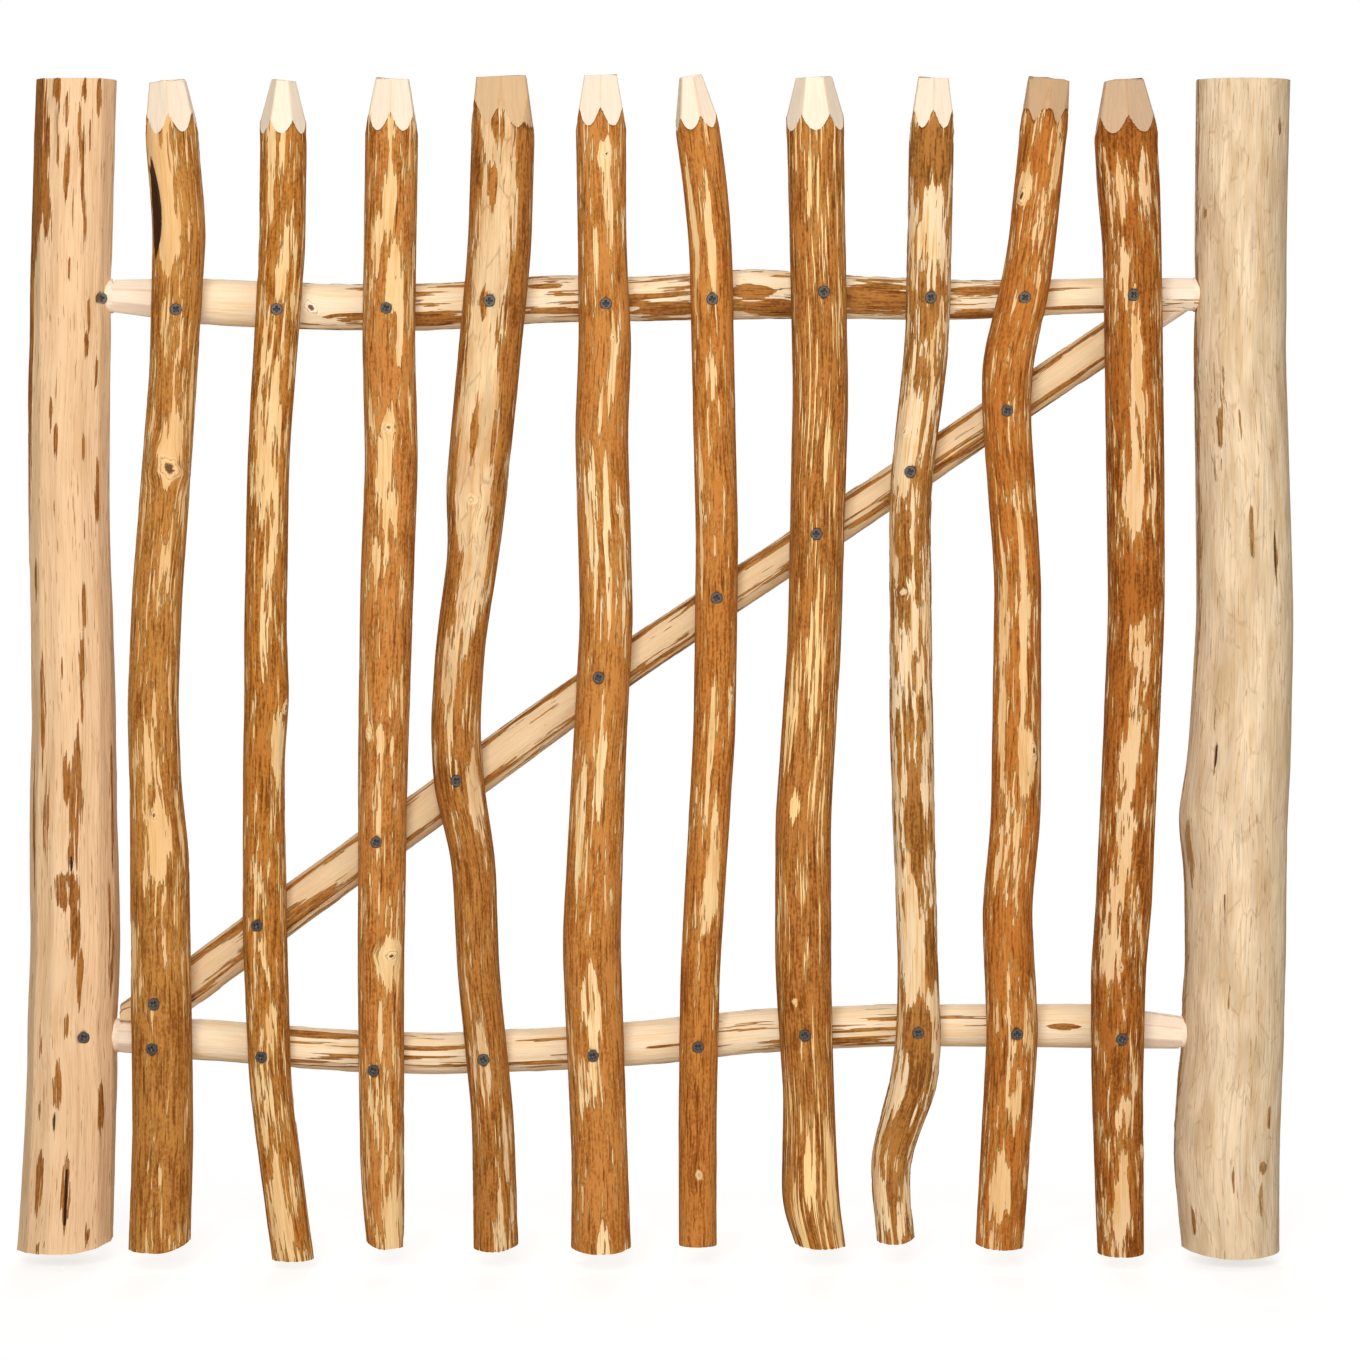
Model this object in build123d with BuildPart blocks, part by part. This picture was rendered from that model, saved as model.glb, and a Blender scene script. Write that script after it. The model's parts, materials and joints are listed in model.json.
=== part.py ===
"""Hazel garden gate: two stout posts, two tenoned rails, a corner brace and ten round pickets.

The gate stands in the XZ plane with its pickets towards -Y. The origin is the middle of the
left post's sawn foot, +X runs along the rails and +Z is up. All sizes are in millimetres.
"""

import os
from dataclasses import dataclass
from math import atan, atan2, cos, degrees, hypot, pi, sin

from build123d import *

# Posts
POST_SPACING = 918.0
POST_HEIGHT = 926.0
LEFT_POST_THICKNESS = 68.0
RIGHT_POST_THICKNESS = 76.0

# Rails, whittled at both ends to round tenons
TOP_RAIL_HEIGHT = 755.0
BOTTOM_RAIL_HEIGHT = 174.0
RAIL_THICKNESS = 35.0
TENON_THICKNESS = 27.0
WHITTLE_LENGTH = 78.0
WHITTLE_SIDES = 8

# Blind mortises in the posts
MORTISE_WALL = 18.0
MORTISE_CLEARANCE = 0.25
MORTISE_END_GAP = 2.0

# Brace, wedged between the rails from the foot of the left post to the head of the right one
BRACE_THICKNESS = 34.0
BRACE_SETBACK = 2.0
BRACE_END = 75.0

# Pickets, sharpened at the top by flat cuts
PICKET_LEVEL = 923.0
PICKET_THICKNESS = 39.5
TIP_LENGTH = 46.0
TIP_SIDES = 6

# Fits
SEAT_GAP = 0.3
MORTISE_COLLAR = 3.0
SHORTEST_SPAN = 18.0
CUTTER_OVERRUN = 6.0
CUTTER_MARGIN = 1.0


@dataclass
class Stick:
    """A length of round timber, crooked and uneven as it grew.

    Each bend is a distance along the stick, its drift off the straight line there and how much
    it swells beyond the stick's own thickness.
    """

    thickness: float
    bends: list

    def drift(self, at):
        return between([(place, drift) for place, drift, _ in self.bends], at)

    def radius(self, at):
        return (self.thickness + between([(place, swell) for place, _, swell in self.bends], at)) / 2

    def places(self):
        return [place for place, _, _ in self.bends]


@dataclass
class Picket:
    """A picket's own habit: where its foot and tip end, how its tip is cut, and its bends."""

    foot: float
    rise: float
    tip_width: float
    tip_turn: float
    bends: list


LEFT_POST = Stick(
    LEFT_POST_THICKNESS,
    [(0, 0, 9), (66, 3, 6), (246, 9, 3), (346, 8, 2), (426, 9, -1), (576, 7, -4), (696, 8, -3)]
    + [(926, 15, -4)],
)
RIGHT_POST = Stick(
    RIGHT_POST_THICKNESS,
    [(0, 4, 2), (81, 0, 9), (136, 2, 7), (226, 6, 3), (306, 5, 4), (346, 2, 10), (391, 7, 5)]
    + [(506, 11, -1), (715, 5, -4), (926, 8, -3)],
)
TOP_RAIL = Stick(
    RAIL_THICKNESS,
    [(40, 1, -2), (140, -5, 2), (220, -8, 1), (300, -7, 2), (385, -1, 2), (460, -1, 0), (540, 3, 5)]
    + [(620, 0, -1), (710, -2, -4), (790, 1, -7), (890, 2, -7)],
)
BOTTOM_RAIL = Stick(
    RAIL_THICKNESS,
    [(40, 0, -3), (116, -4, -2), (200, -11, -1), (290, -15, -1), (385, -11, 0), (460, -6, 1)]
    + [(550, 4, 0), (650, 8, -2), (800, 8, 0), (880, 2, -3)],
)
BRACE = Stick(
    BRACE_THICKNESS,
    [(75, 2, 1), (190, 7, 1), (300, 9, 0), (400, 13, 2), (490, 15, -1), (600, 14, -2), (760, 11, -3)]
    + [(948, 9, -3)],
)
PICKETS = [
    Picket(11, -2, 27, 0,
           [(11, -6, 9), (101, -3, 8), (324, -4, 6), (371, -7, 1), (436, -9, 0), (526, -5, -1)]
           + [(698, 9, -3), (806, 15, 2), (921, 6, 1)]),
    Picket(0, -1, 16, 30,
           [(0, 15, -7), (140, -2, -7), (276, -6, -4), (396, -6, -7), (441, -3, -4), (488, -4, -6)]
           + [(631, -1, -7), (791, 10, -4), (922, 12, -4)]),
    Picket(11, 0, 25, 0,
           [(11, 4, -10), (71, 2, -5), (230, 1, -3), (386, 3, -1), (536, 7, 1), (628, 11, 1), (717, 9, 1)]
           + [(923, 13, 1)]),
    Picket(10, 1, 38, 0,
           [(10, 7, -5), (112, 5, -7), (230, -6, -7), (316, -9, -6), (381, -22, 0), (421, -23, -2)]
           + [(486, -19, -2), (558, -8, 0), (606, -6, 8), (791, 12, 9), (861, 15, 9), (924, 14, 8)]),
    Picket(10, 3, 25, 0,
           [(10, 7, 7), (81, 6, 4), (254, -1, 5), (396, 5, 2), (506, 11, 2), (651, 7, 1), (717, 10, 1)]
           + [(791, 8, -2), (926, 7, 0)]),
    Picket(13, 2, 16, 12,
           [(13, -1, -10), (116, -1, -10), (230, 1, -9), (418, 12, -7), (566, 14, -7), (791, 9, -7)]
           + [(836, 5, -6), (925, -7, -6)]),
    Picket(13, 1, 24, 30,
           [(13, 11, 0), (46, 3, 6), (128, 2, 0), (230, -3, 4), (348, -3, 4), (488, 6, 3), (676, 11, 4)]
           + [(924, 5, 5)]),
    Picket(15, 1, 23, 0,
           [(15, -13, -10), (46, -16, -10), (81, -18, -8), (140, 1, -1), (176, 5, -5), (236, 4, -9)]
           + [(418, -1, -5), (581, -3, -7), (628, -1, -6), (717, 10, -5), (924, 14, -5)]),
    Picket(12, 0, 31, 0,
           [(12, -15, -2), (181, -5, 1), (277, -10, -1), (348, -3, -1), (536, -2, -3), (656, -12, -2)]
           + [(706, -11, 1), (744, -1, 1), (791, 7, -3), (923, 20, -3)]),
    Picket(4, -1, 29, 0,
           [(4, -3, -3), (140, -7, 0), (230, -7, 3), (277, -3, 4), (511, 6, 4), (606, 5, 6), (791, 2, 6)]
           + [(836, -1, 9), (922, -6, 9)]),
]
PICKET_PITCH = POST_SPACING / (len(PICKETS) + 1)


def between(points, at):
    """The value at a distance, in a straight line from each point to the next."""
    if at <= points[0][0]:
        return points[0][1]
    for (place, value), (next_place, next_value) in zip(points, points[1:]):
        if at <= next_place:
            return value + (next_value - value) * (at - place) / (next_place - place)
    return points[-1][1]


def stations(start, end, bends, seats=()):
    """Where a stick's girth is set out: its ends, its seats, and the bends well clear of those."""
    places = [start, end, *seats]
    for bend in bends:
        if start < bend < end and all(abs(bend - place) > SHORTEST_SPAN for place in places):
            places.append(bend)
    return sorted(places)


# Where the pieces lie, each worked out from the posts and the rails

RAILS = ((BOTTOM_RAIL, BOTTOM_RAIL_HEIGHT), (TOP_RAIL, TOP_RAIL_HEIGHT))


def post_face(post, line, height, side):
    """The x of a post's face at a height: side is +1 towards the right and -1 towards the left."""
    return line + post.drift(height) + side * post.radius(height)


def rail_ends(level):
    return post_face(LEFT_POST, 0, level, 1), post_face(RIGHT_POST, POST_SPACING, level, -1)


def rail_height(rail, level, x):
    return level + rail.drift(x)


def rail_reach(rail, level, x):
    """How far a rail stands out at x: half its girth, or the whittled flat near either end."""
    left, right = rail_ends(level)
    inset = min(x - left, right - x)
    if inset >= WHITTLE_LENGTH:
        return rail.radius(x)
    neck = rail.radius(left + WHITTLE_LENGTH if x - left < right - x else right - WHITTLE_LENGTH)
    flat = TENON_THICKNESS / 2 * cos(pi / WHITTLE_SIDES)
    return min(neck, flat + (neck + CUTTER_MARGIN / 2 - flat) * inset / WHITTLE_LENGTH)


def rail_side(rail, level, x, side):
    """The height of a rail's top, where side is +1, or of its underside, where side is -1."""
    return rail_height(rail, level, x) + side * rail_reach(rail, level, x)


LEFT_FACE_LOW = rail_ends(BOTTOM_RAIL_HEIGHT)[0]
RIGHT_FACE_HIGH = rail_ends(TOP_RAIL_HEIGHT)[1]
BRACE_RUN = RIGHT_FACE_HIGH - LEFT_FACE_LOW
BRACE_RISE = TOP_RAIL_HEIGHT - BOTTOM_RAIL_HEIGHT
BRACE_LENGTH = hypot(BRACE_RUN, BRACE_RISE)
BRACE_SLOPE = atan2(BRACE_RISE, BRACE_RUN)
BRACE_FOOT = 2 * BRACE.radius(0) / sin(BRACE_SLOPE)


def brace_axis(along):
    """The brace's middle, as x and z, at a distance along its straight line."""
    bow = BRACE.drift(along)
    return (
        LEFT_FACE_LOW + along * cos(BRACE_SLOPE) - bow * sin(BRACE_SLOPE),
        BOTTOM_RAIL_HEIGHT + along * sin(BRACE_SLOPE) + bow * cos(BRACE_SLOPE),
    )


def brace_at(x):
    """The distance along the brace whose middle lies at this x."""
    along = (x - LEFT_FACE_LOW) / cos(BRACE_SLOPE)
    for _ in range(6):
        along += (x - brace_axis(along)[0]) / cos(BRACE_SLOPE)
    return along


def picket_line(number):
    return PICKET_PITCH * number


def picket_seats(number, stick):
    """Where a picket's back rests on a rail or on the brace: heights, with its depth there."""
    line = picket_line(number)
    seats = []
    for rail, level in RAILS:
        height = level
        for _ in range(6):
            height = rail_height(rail, level, line + stick.drift(height))
        seats.append((height, -rail_reach(rail, level, line + stick.drift(height)) - SEAT_GAP))
    height = BOTTOM_RAIL_HEIGHT
    for _ in range(12):
        along = brace_at(line + stick.drift(height))
        height = brace_axis(along)[1]
    front = BRACE.radius(along) - BRACE_SETBACK
    if seats[0][0] < height < seats[1][0] - RAIL_THICKNESS:
        seats.insert(1, (height, -front - SEAT_GAP))
    return seats


def chips(neck, girth, small, length, sides, turn):
    """What the knife takes off a stick's end: a collar round flats that narrow towards the end.

    The neck plane is just below the flats and faces out along the stick, girth is the stick's
    radius there, and small is the width across the flats at the end.
    """
    large = 2 * girth + CUTTER_MARGIN
    slant = degrees(atan((large - small) / 2 / length))
    with BuildPart() as waste:
        with BuildSketch(neck):
            Circle(large)
        extrude(amount=length + CUTTER_OVERRUN)
        with BuildSketch(neck):
            RegularPolygon(large / 2, sides, major_radius=False, rotation=turn)
        extrude(amount=length + CUTTER_OVERRUN, taper=slant, mode=Mode.SUBTRACT)
    return waste.part


def make_post(name, post, line, side):
    """A stout upright, sawn square at both ends, with a blind mortise for each rail."""
    mortise = TENON_THICKNESS / 2 + MORTISE_CLEARANCE
    heights = []
    for rail, level in RAILS:
        heights.append(rail_height(rail, level, post_face(post, line, level, side)))
    reach = mortise + MORTISE_COLLAR
    collars = {height + edge * reach: height for height in heights for edge in (-1, 1)}
    with BuildPart() as upright:
        for height in stations(0, POST_HEIGHT, post.places(), collars):
            girth_at = collars.get(height, height)
            with BuildSketch(Plane.XY.offset(height)):
                with Locations((line + post.drift(girth_at), 0)):
                    Circle(post.radius(girth_at))
        loft(ruled=True)
        for height in heights:
            floor = post_face(post, line, height, -side) + side * MORTISE_WALL
            with BuildSketch(Plane(origin=(floor, 0, height), z_dir=(side, 0, 0))):
                Circle(mortise)
            extrude(amount=2 * post.radius(height), mode=Mode.SUBTRACT)
    upright.part.label = name
    return upright.part


def make_rail(name, rail, level):
    """A round rail, whittled with flats at both ends, with a round tenon in each post."""
    left, right = rail_ends(level)
    starts = (left + WHITTLE_LENGTH, right - WHITTLE_LENGTH)
    small = TENON_THICKNESS * cos(pi / WHITTLE_SIDES)

    def middle(x):
        return Vector(x, 0, rail_height(rail, level, x))

    with BuildPart() as timber:
        for x in stations(*starts, rail.places()):
            end = left if x == starts[0] else right
            heading = middle(end) - middle(x) if x in starts else Vector(1, 0, 0)
            forward = heading if heading.X > 0 else -heading
            with BuildSketch(Plane(origin=middle(x), x_dir=(0, 1, 0), z_dir=forward)):
                Circle(rail.radius(x))
        loft(ruled=True)
        for x, start, post, line in zip((left, right), starts, (LEFT_POST, RIGHT_POST), (0, POST_SPACING)):
            outward = 1 if x > start else -1
            lean = middle(x) - middle(start)
            neck = Plane(origin=middle(start), x_dir=(0, 1, 0), z_dir=lean)
            girth = rail.radius(start)
            with BuildSketch(neck):
                Circle(girth)
            extrude(amount=lean.length)
            turn = 180 / WHITTLE_SIDES
            add(chips(neck, girth, small, lean.length, WHITTLE_SIDES, turn), mode=Mode.SUBTRACT)
            floor = post_face(post, line, middle(x).Z, outward) - outward * MORTISE_WALL
            with BuildSketch(Plane(origin=middle(x), z_dir=(outward, 0, 0))):
                Circle(TENON_THICKNESS / 2)
            extrude(amount=abs(floor - x) - MORTISE_END_GAP)
    timber.part.label = name
    return timber.part


def seat_cut(rail, level, left, right, side):
    """The cut that beds a brace end along a rail's whittled side, facing away from the rail."""
    start, end = (Vector(x, 0, rail_side(rail, level, x, side) + side * SEAT_GAP) for x in (left, right))
    run = end - start
    return Plane(origin=start, x_dir=run, z_dir=(-side * run.Z, 0, side * run.X))


def make_brace():
    """A bowed stick across the gate, with its ends cut to bed along the rails and meet the posts."""
    forward = Vector(cos(BRACE_SLOPE), 0, sin(BRACE_SLOPE))
    low_level = rail_side(BOTTOM_RAIL, BOTTOM_RAIL_HEIGHT, LEFT_FACE_LOW, 1)
    high_level = rail_side(TOP_RAIL, TOP_RAIL_HEIGHT, RIGHT_FACE_HIGH, -1)
    left_face = max(post_face(LEFT_POST, 0, low_level + rise, 1) for rise in (0, BRACE_THICKNESS))
    right_face = min(
        post_face(RIGHT_POST, POST_SPACING, high_level - drop, -1) for drop in (0, BRACE_THICKNESS)
    )
    cuts = (
        seat_cut(BOTTOM_RAIL, BOTTOM_RAIL_HEIGHT, LEFT_FACE_LOW, LEFT_FACE_LOW + BRACE_FOOT, 1),
        seat_cut(TOP_RAIL, TOP_RAIL_HEIGHT, RIGHT_FACE_HIGH - BRACE_FOOT, RIGHT_FACE_HIGH, -1),
        Plane(origin=(left_face + SEAT_GAP, 0, 0), z_dir=(1, 0, 0)),
        Plane(origin=(right_face - SEAT_GAP, 0, 0), z_dir=(-1, 0, 0)),
    )

    def across(along, facing):
        x, z = brace_axis(along)
        return Plane(origin=(x, BRACE_SETBACK, z), x_dir=(0, 1, 0), z_dir=facing)

    ends = (BRACE_END, BRACE_LENGTH - BRACE_END)
    with BuildPart() as timber:
        for along in stations(*ends, BRACE.places()):
            with BuildSketch(across(along, forward)):
                Circle(BRACE.radius(along))
        loft(ruled=True)
        for along, facing in zip(ends, (-forward, forward)):
            with BuildSketch(across(along, facing)):
                Circle(BRACE.radius(along))
            extrude(amount=BRACE_END + BRACE_THICKNESS)
        for cut in cuts:
            split(bisect_by=cut, keep=Keep.TOP)
    timber.part.label = "brace"
    return timber.part


def make_picket(name, number, habit):
    """A crooked round picket that rests on the rails and the brace, with a tip cut to flats."""
    stick = Stick(PICKET_THICKNESS, habit.bends)
    line = picket_line(number)
    seats = picket_seats(number, stick)
    top = PICKET_LEVEL + habit.rise
    shoulder = top - TIP_LENGTH

    def middle(height):
        depth = between(seats, height) - stick.radius(height)
        return Vector(line + stick.drift(height), depth, height)

    lean = middle(top) - middle(shoulder)
    neck = Plane(origin=middle(shoulder), x_dir=(1, 0, 0), z_dir=lean)
    girth = stick.radius(shoulder)
    with BuildPart() as timber:
        for height in stations(habit.foot, shoulder, stick.places(), [seat[0] for seat in seats])[:-1]:
            with BuildSketch(Plane(origin=middle(height), x_dir=(1, 0, 0), z_dir=(0, 0, 1))):
                Circle(stick.radius(height))
        with BuildSketch(neck):
            Circle(girth)
        loft(ruled=True)
        with BuildSketch(neck):
            Circle(girth)
        extrude(amount=lean.length)
        waste = chips(neck, girth, habit.tip_width, lean.length, TIP_SIDES, 90 + habit.tip_turn)
        add(waste, mode=Mode.SUBTRACT)
    timber.part.label = name
    return timber.part


def main():
    pieces = [
        make_post("left_post", LEFT_POST, 0, 1),
        make_post("right_post", RIGHT_POST, POST_SPACING, -1),
        make_rail("top_rail", TOP_RAIL, TOP_RAIL_HEIGHT),
        make_rail("bottom_rail", BOTTOM_RAIL, BOTTOM_RAIL_HEIGHT),
        make_brace(),
    ]
    for number, habit in enumerate(PICKETS, start=1):
        pieces.append(make_picket(f"picket_{number:02d}", number, habit))
    os.makedirs("parts", exist_ok=True)
    for piece in pieces:
        export_step(piece, f"parts/{piece.label}.step")


main()
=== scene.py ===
"""Looks of the hazel garden gate, built around its CAD frame.

Each stick is traced from its CAD node, given the uneven girth, knots and torn bark of cut hazel,
and put in that node's place. The screws, the studio and the camera follow.
"""

from __future__ import annotations

import json
import logging
import math
from dataclasses import dataclass, field
from enum import Enum
from functools import partial

import bpy
import numpy as np
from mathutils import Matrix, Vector
from mathutils.bvhtree import BVHTree

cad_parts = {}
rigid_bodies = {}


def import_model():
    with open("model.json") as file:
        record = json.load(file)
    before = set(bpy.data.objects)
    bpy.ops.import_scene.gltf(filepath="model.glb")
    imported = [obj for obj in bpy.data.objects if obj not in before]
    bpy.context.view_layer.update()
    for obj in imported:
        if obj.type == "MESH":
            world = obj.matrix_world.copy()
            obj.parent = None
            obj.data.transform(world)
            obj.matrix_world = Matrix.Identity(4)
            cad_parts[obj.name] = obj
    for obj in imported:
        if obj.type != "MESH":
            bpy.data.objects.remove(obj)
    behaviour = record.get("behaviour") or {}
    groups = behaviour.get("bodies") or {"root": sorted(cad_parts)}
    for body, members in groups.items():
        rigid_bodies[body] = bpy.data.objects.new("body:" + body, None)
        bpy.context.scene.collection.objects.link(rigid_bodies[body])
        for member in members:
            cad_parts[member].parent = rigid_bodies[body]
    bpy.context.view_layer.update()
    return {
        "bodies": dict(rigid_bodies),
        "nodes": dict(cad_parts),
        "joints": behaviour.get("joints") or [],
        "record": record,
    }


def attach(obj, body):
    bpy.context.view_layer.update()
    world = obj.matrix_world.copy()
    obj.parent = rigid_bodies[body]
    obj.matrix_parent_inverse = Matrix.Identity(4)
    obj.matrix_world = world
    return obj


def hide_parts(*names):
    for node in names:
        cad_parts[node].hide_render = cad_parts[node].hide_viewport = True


LOG = logging.getLogger("gate")
MM = 0.001
FRONT = np.array((0.0, -1.0, 0.0))
WHITE = (1.0, 1.0, 1.0, 1.0)
Socket = bpy.types.NodeSocket

# Short names for the nodes used most, and the settings they are used with
MATH = "ShaderNodeMath"
VECTORS = "ShaderNodeVectorMath"
RANGE = "ShaderNodeMapRange"
MIX = "ShaderNodeMix"
DRAWN = "ShaderNodeAttribute"
STORED = "GeometryNodeInputNamedAttribute"
PRINCIPLED = "ShaderNodeBsdfPrincipled"
SURFACE_OUT = "ShaderNodeOutputMaterial"
SMOOTH = {"interpolation_type": "SMOOTHSTEP"}
COLOURS = {"out": 2, "data_type": "RGBA"}


class Lay(Enum):
    """Which way a stick lies in the gate."""

    UPRIGHT = "upright"
    LEVEL = "level"
    SLANTED = "slanted"

    def heading(self, points: np.ndarray) -> np.ndarray:
        """Find the direction that the stick runs in.

        Args:
            points: The stick's vertices, one row each.

        Returns:
            A unit vector in the gate's plane.
        """
        if self is Lay.UPRIGHT:
            return np.array((0.0, 0.0, 1.0))
        if self is Lay.LEVEL:
            return np.array((1.0, 0.0, 0.0))
        low, high = points[points[:, 0].argmin()], points[points[:, 0].argmax()]
        run = (high - low) * (1.0, 0.0, 1.0)
        return run / np.linalg.norm(run)


class MarkKind(Enum):
    """What a mark does to a stick."""

    BARE = "bare"
    BARK = "bark"
    KNOT = "knot"
    SPLIT = "split"
    BORE = "bore"


@dataclass(frozen=True)
class Mark:
    """One mark, in millimetres.

    The place is along the stick, as a height on an upright or an x on a rail. The side is across
    the stick as seen from the front. Width and length are the mark's full size.
    """

    kind: MarkKind
    place: float
    side: float
    width: float
    length: float
    strength: float = 1.0


def srgb(code: str) -> tuple[float, float, float, float]:
    """Turn an sRGB hex colour into the linear colour that shaders take.

    Args:
        code: Six hex digits, with or without a leading hash.

    Returns:
        Linear red, green, blue and a full alpha.
    """
    digits = code.lstrip("#")
    values = [int(digits[i : i + 2], 16) / 255 for i in (0, 2, 4)]
    linear = [v / 12.92 if v <= 0.04045 else ((v + 0.055) / 1.055) ** 2.4 for v in values]
    return (*linear, 1.0)


class Nodes:
    """One shader or geometry tree, with the patterns that several finishes share."""

    # Streaks, finer streaks and broad patches: width and length as shares of a streak's, detail, weight
    TEARS = ((1.0, 1.0, 3.0, 0.95), (0.45, 0.6, 2.0, 0.45), (5.0, 1.8, 1.0, 0.35))

    def __init__(self, tree: bpy.types.NodeTree) -> None:
        """Take hold of a tree and empty it."""
        self.tree = tree
        tree.nodes.clear()

    def add(
        self, kind: str, inputs: dict | tuple = (), out: int | str = 0, **settings: object
    ) -> Socket | None:
        """Add one node with its settings and links.

        Args:
            kind: The node's type name.
            inputs: Values or sockets, in the order of the inputs or by an input's name or number.
            out: The name or number of the output to hand back.
            **settings: The node's own properties.

        Returns:
            That output, or nothing for a node without outputs.
        """
        node = self.tree.nodes.new(kind)
        for name, value in settings.items():
            setattr(node, name, value)
        pairs = inputs.items() if isinstance(inputs, dict) else enumerate(inputs)
        for name, value in pairs:
            if isinstance(value, Socket):
                self.tree.links.new(value, node.inputs[name])
            else:
                node.inputs[name].default_value = value
        return node.outputs[out] if len(node.outputs) else None

    def coats(self, under: object, *layers: tuple[object, object]) -> Socket:
        """Lay colours one over another.

        Args:
            under: The lowest colour.
            *layers: How much of each next colour covers the ones below, and that colour.

        Returns:
            The finished colour.
        """
        for share, colour in layers:
            under = self.add(MIX, {0: share, 6: under, 7: colour}, **COLOURS)
        return under

    def along_grain(self, grain: Socket, width: object, length: object, detail: float = 2.0) -> Socket:
        """Lay a noise along the grain.

        Args:
            grain: Straightened coordinates in millimetres, with z along the stick.
            width: Size of the pattern across the grain, in millimetres.
            length: Size of the pattern along the grain, in millimetres.
            detail: How many finer layers to add.

        Returns:
            The noise, about 0.5 on average.
        """
        size = self.add("ShaderNodeCombineXYZ", (width, width, length))
        place = self.add(VECTORS, (grain, size), operation="DIVIDE")
        inputs = {"Vector": place, "Scale": 1.0, "Detail": detail, "Roughness": 0.55}
        return self.add("ShaderNodeTexNoise", inputs, noise_dimensions="3D")

    def bareness(self, grain: Socket, bias: Socket, width: object, length: object) -> Socket:
        """Work out how far the bark is torn off, from long streaks, finer ones and broad patches.

        Args:
            grain: Straightened coordinates in millimetres.
            bias: Given help: positive bares the wood and negative keeps the bark.
            width: Width of a streak in millimetres.
            length: Length of a streak in millimetres.

        Returns:
            A number that is about 0 on average and higher where the wood is bare.
        """
        torn = bias
        for wide, far, detail, weight in self.TEARS:
            across = self.add(MATH, (width, wide), operation="MULTIPLY")
            along = self.add(MATH, (length, far), operation="MULTIPLY")
            noise = self.along_grain(grain, across, along, detail)
            layer = self.add(MATH, (noise, 0.5), operation="SUBTRACT")
            torn = self.add(MATH, (layer, weight, torn), operation="MULTIPLY_ADD")
        return torn

    def looked_at(self) -> Socket:
        """Tell rays that carry the picture from rays that carry the room's light.

        Returns:
            A number that is 1 for camera, mirror and glass rays, and 0 for the rest.
        """
        path = self.add("ShaderNodeLightPath").node.outputs
        mirrored = self.add(MATH, (path["Is Glossy Ray"], path["Is Transmission Ray"]), operation="MAXIMUM")
        return self.add(MATH, (path["Is Camera Ray"], mirrored), operation="MAXIMUM")


def new_material(name: str) -> tuple[bpy.types.Material, Nodes]:
    """Start a material.

    Args:
        name: Its name.

    Returns:
        The material and its empty tree.
    """
    material = bpy.data.materials.new(name)
    material.use_nodes = True
    return material, Nodes(material.node_tree)


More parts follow.
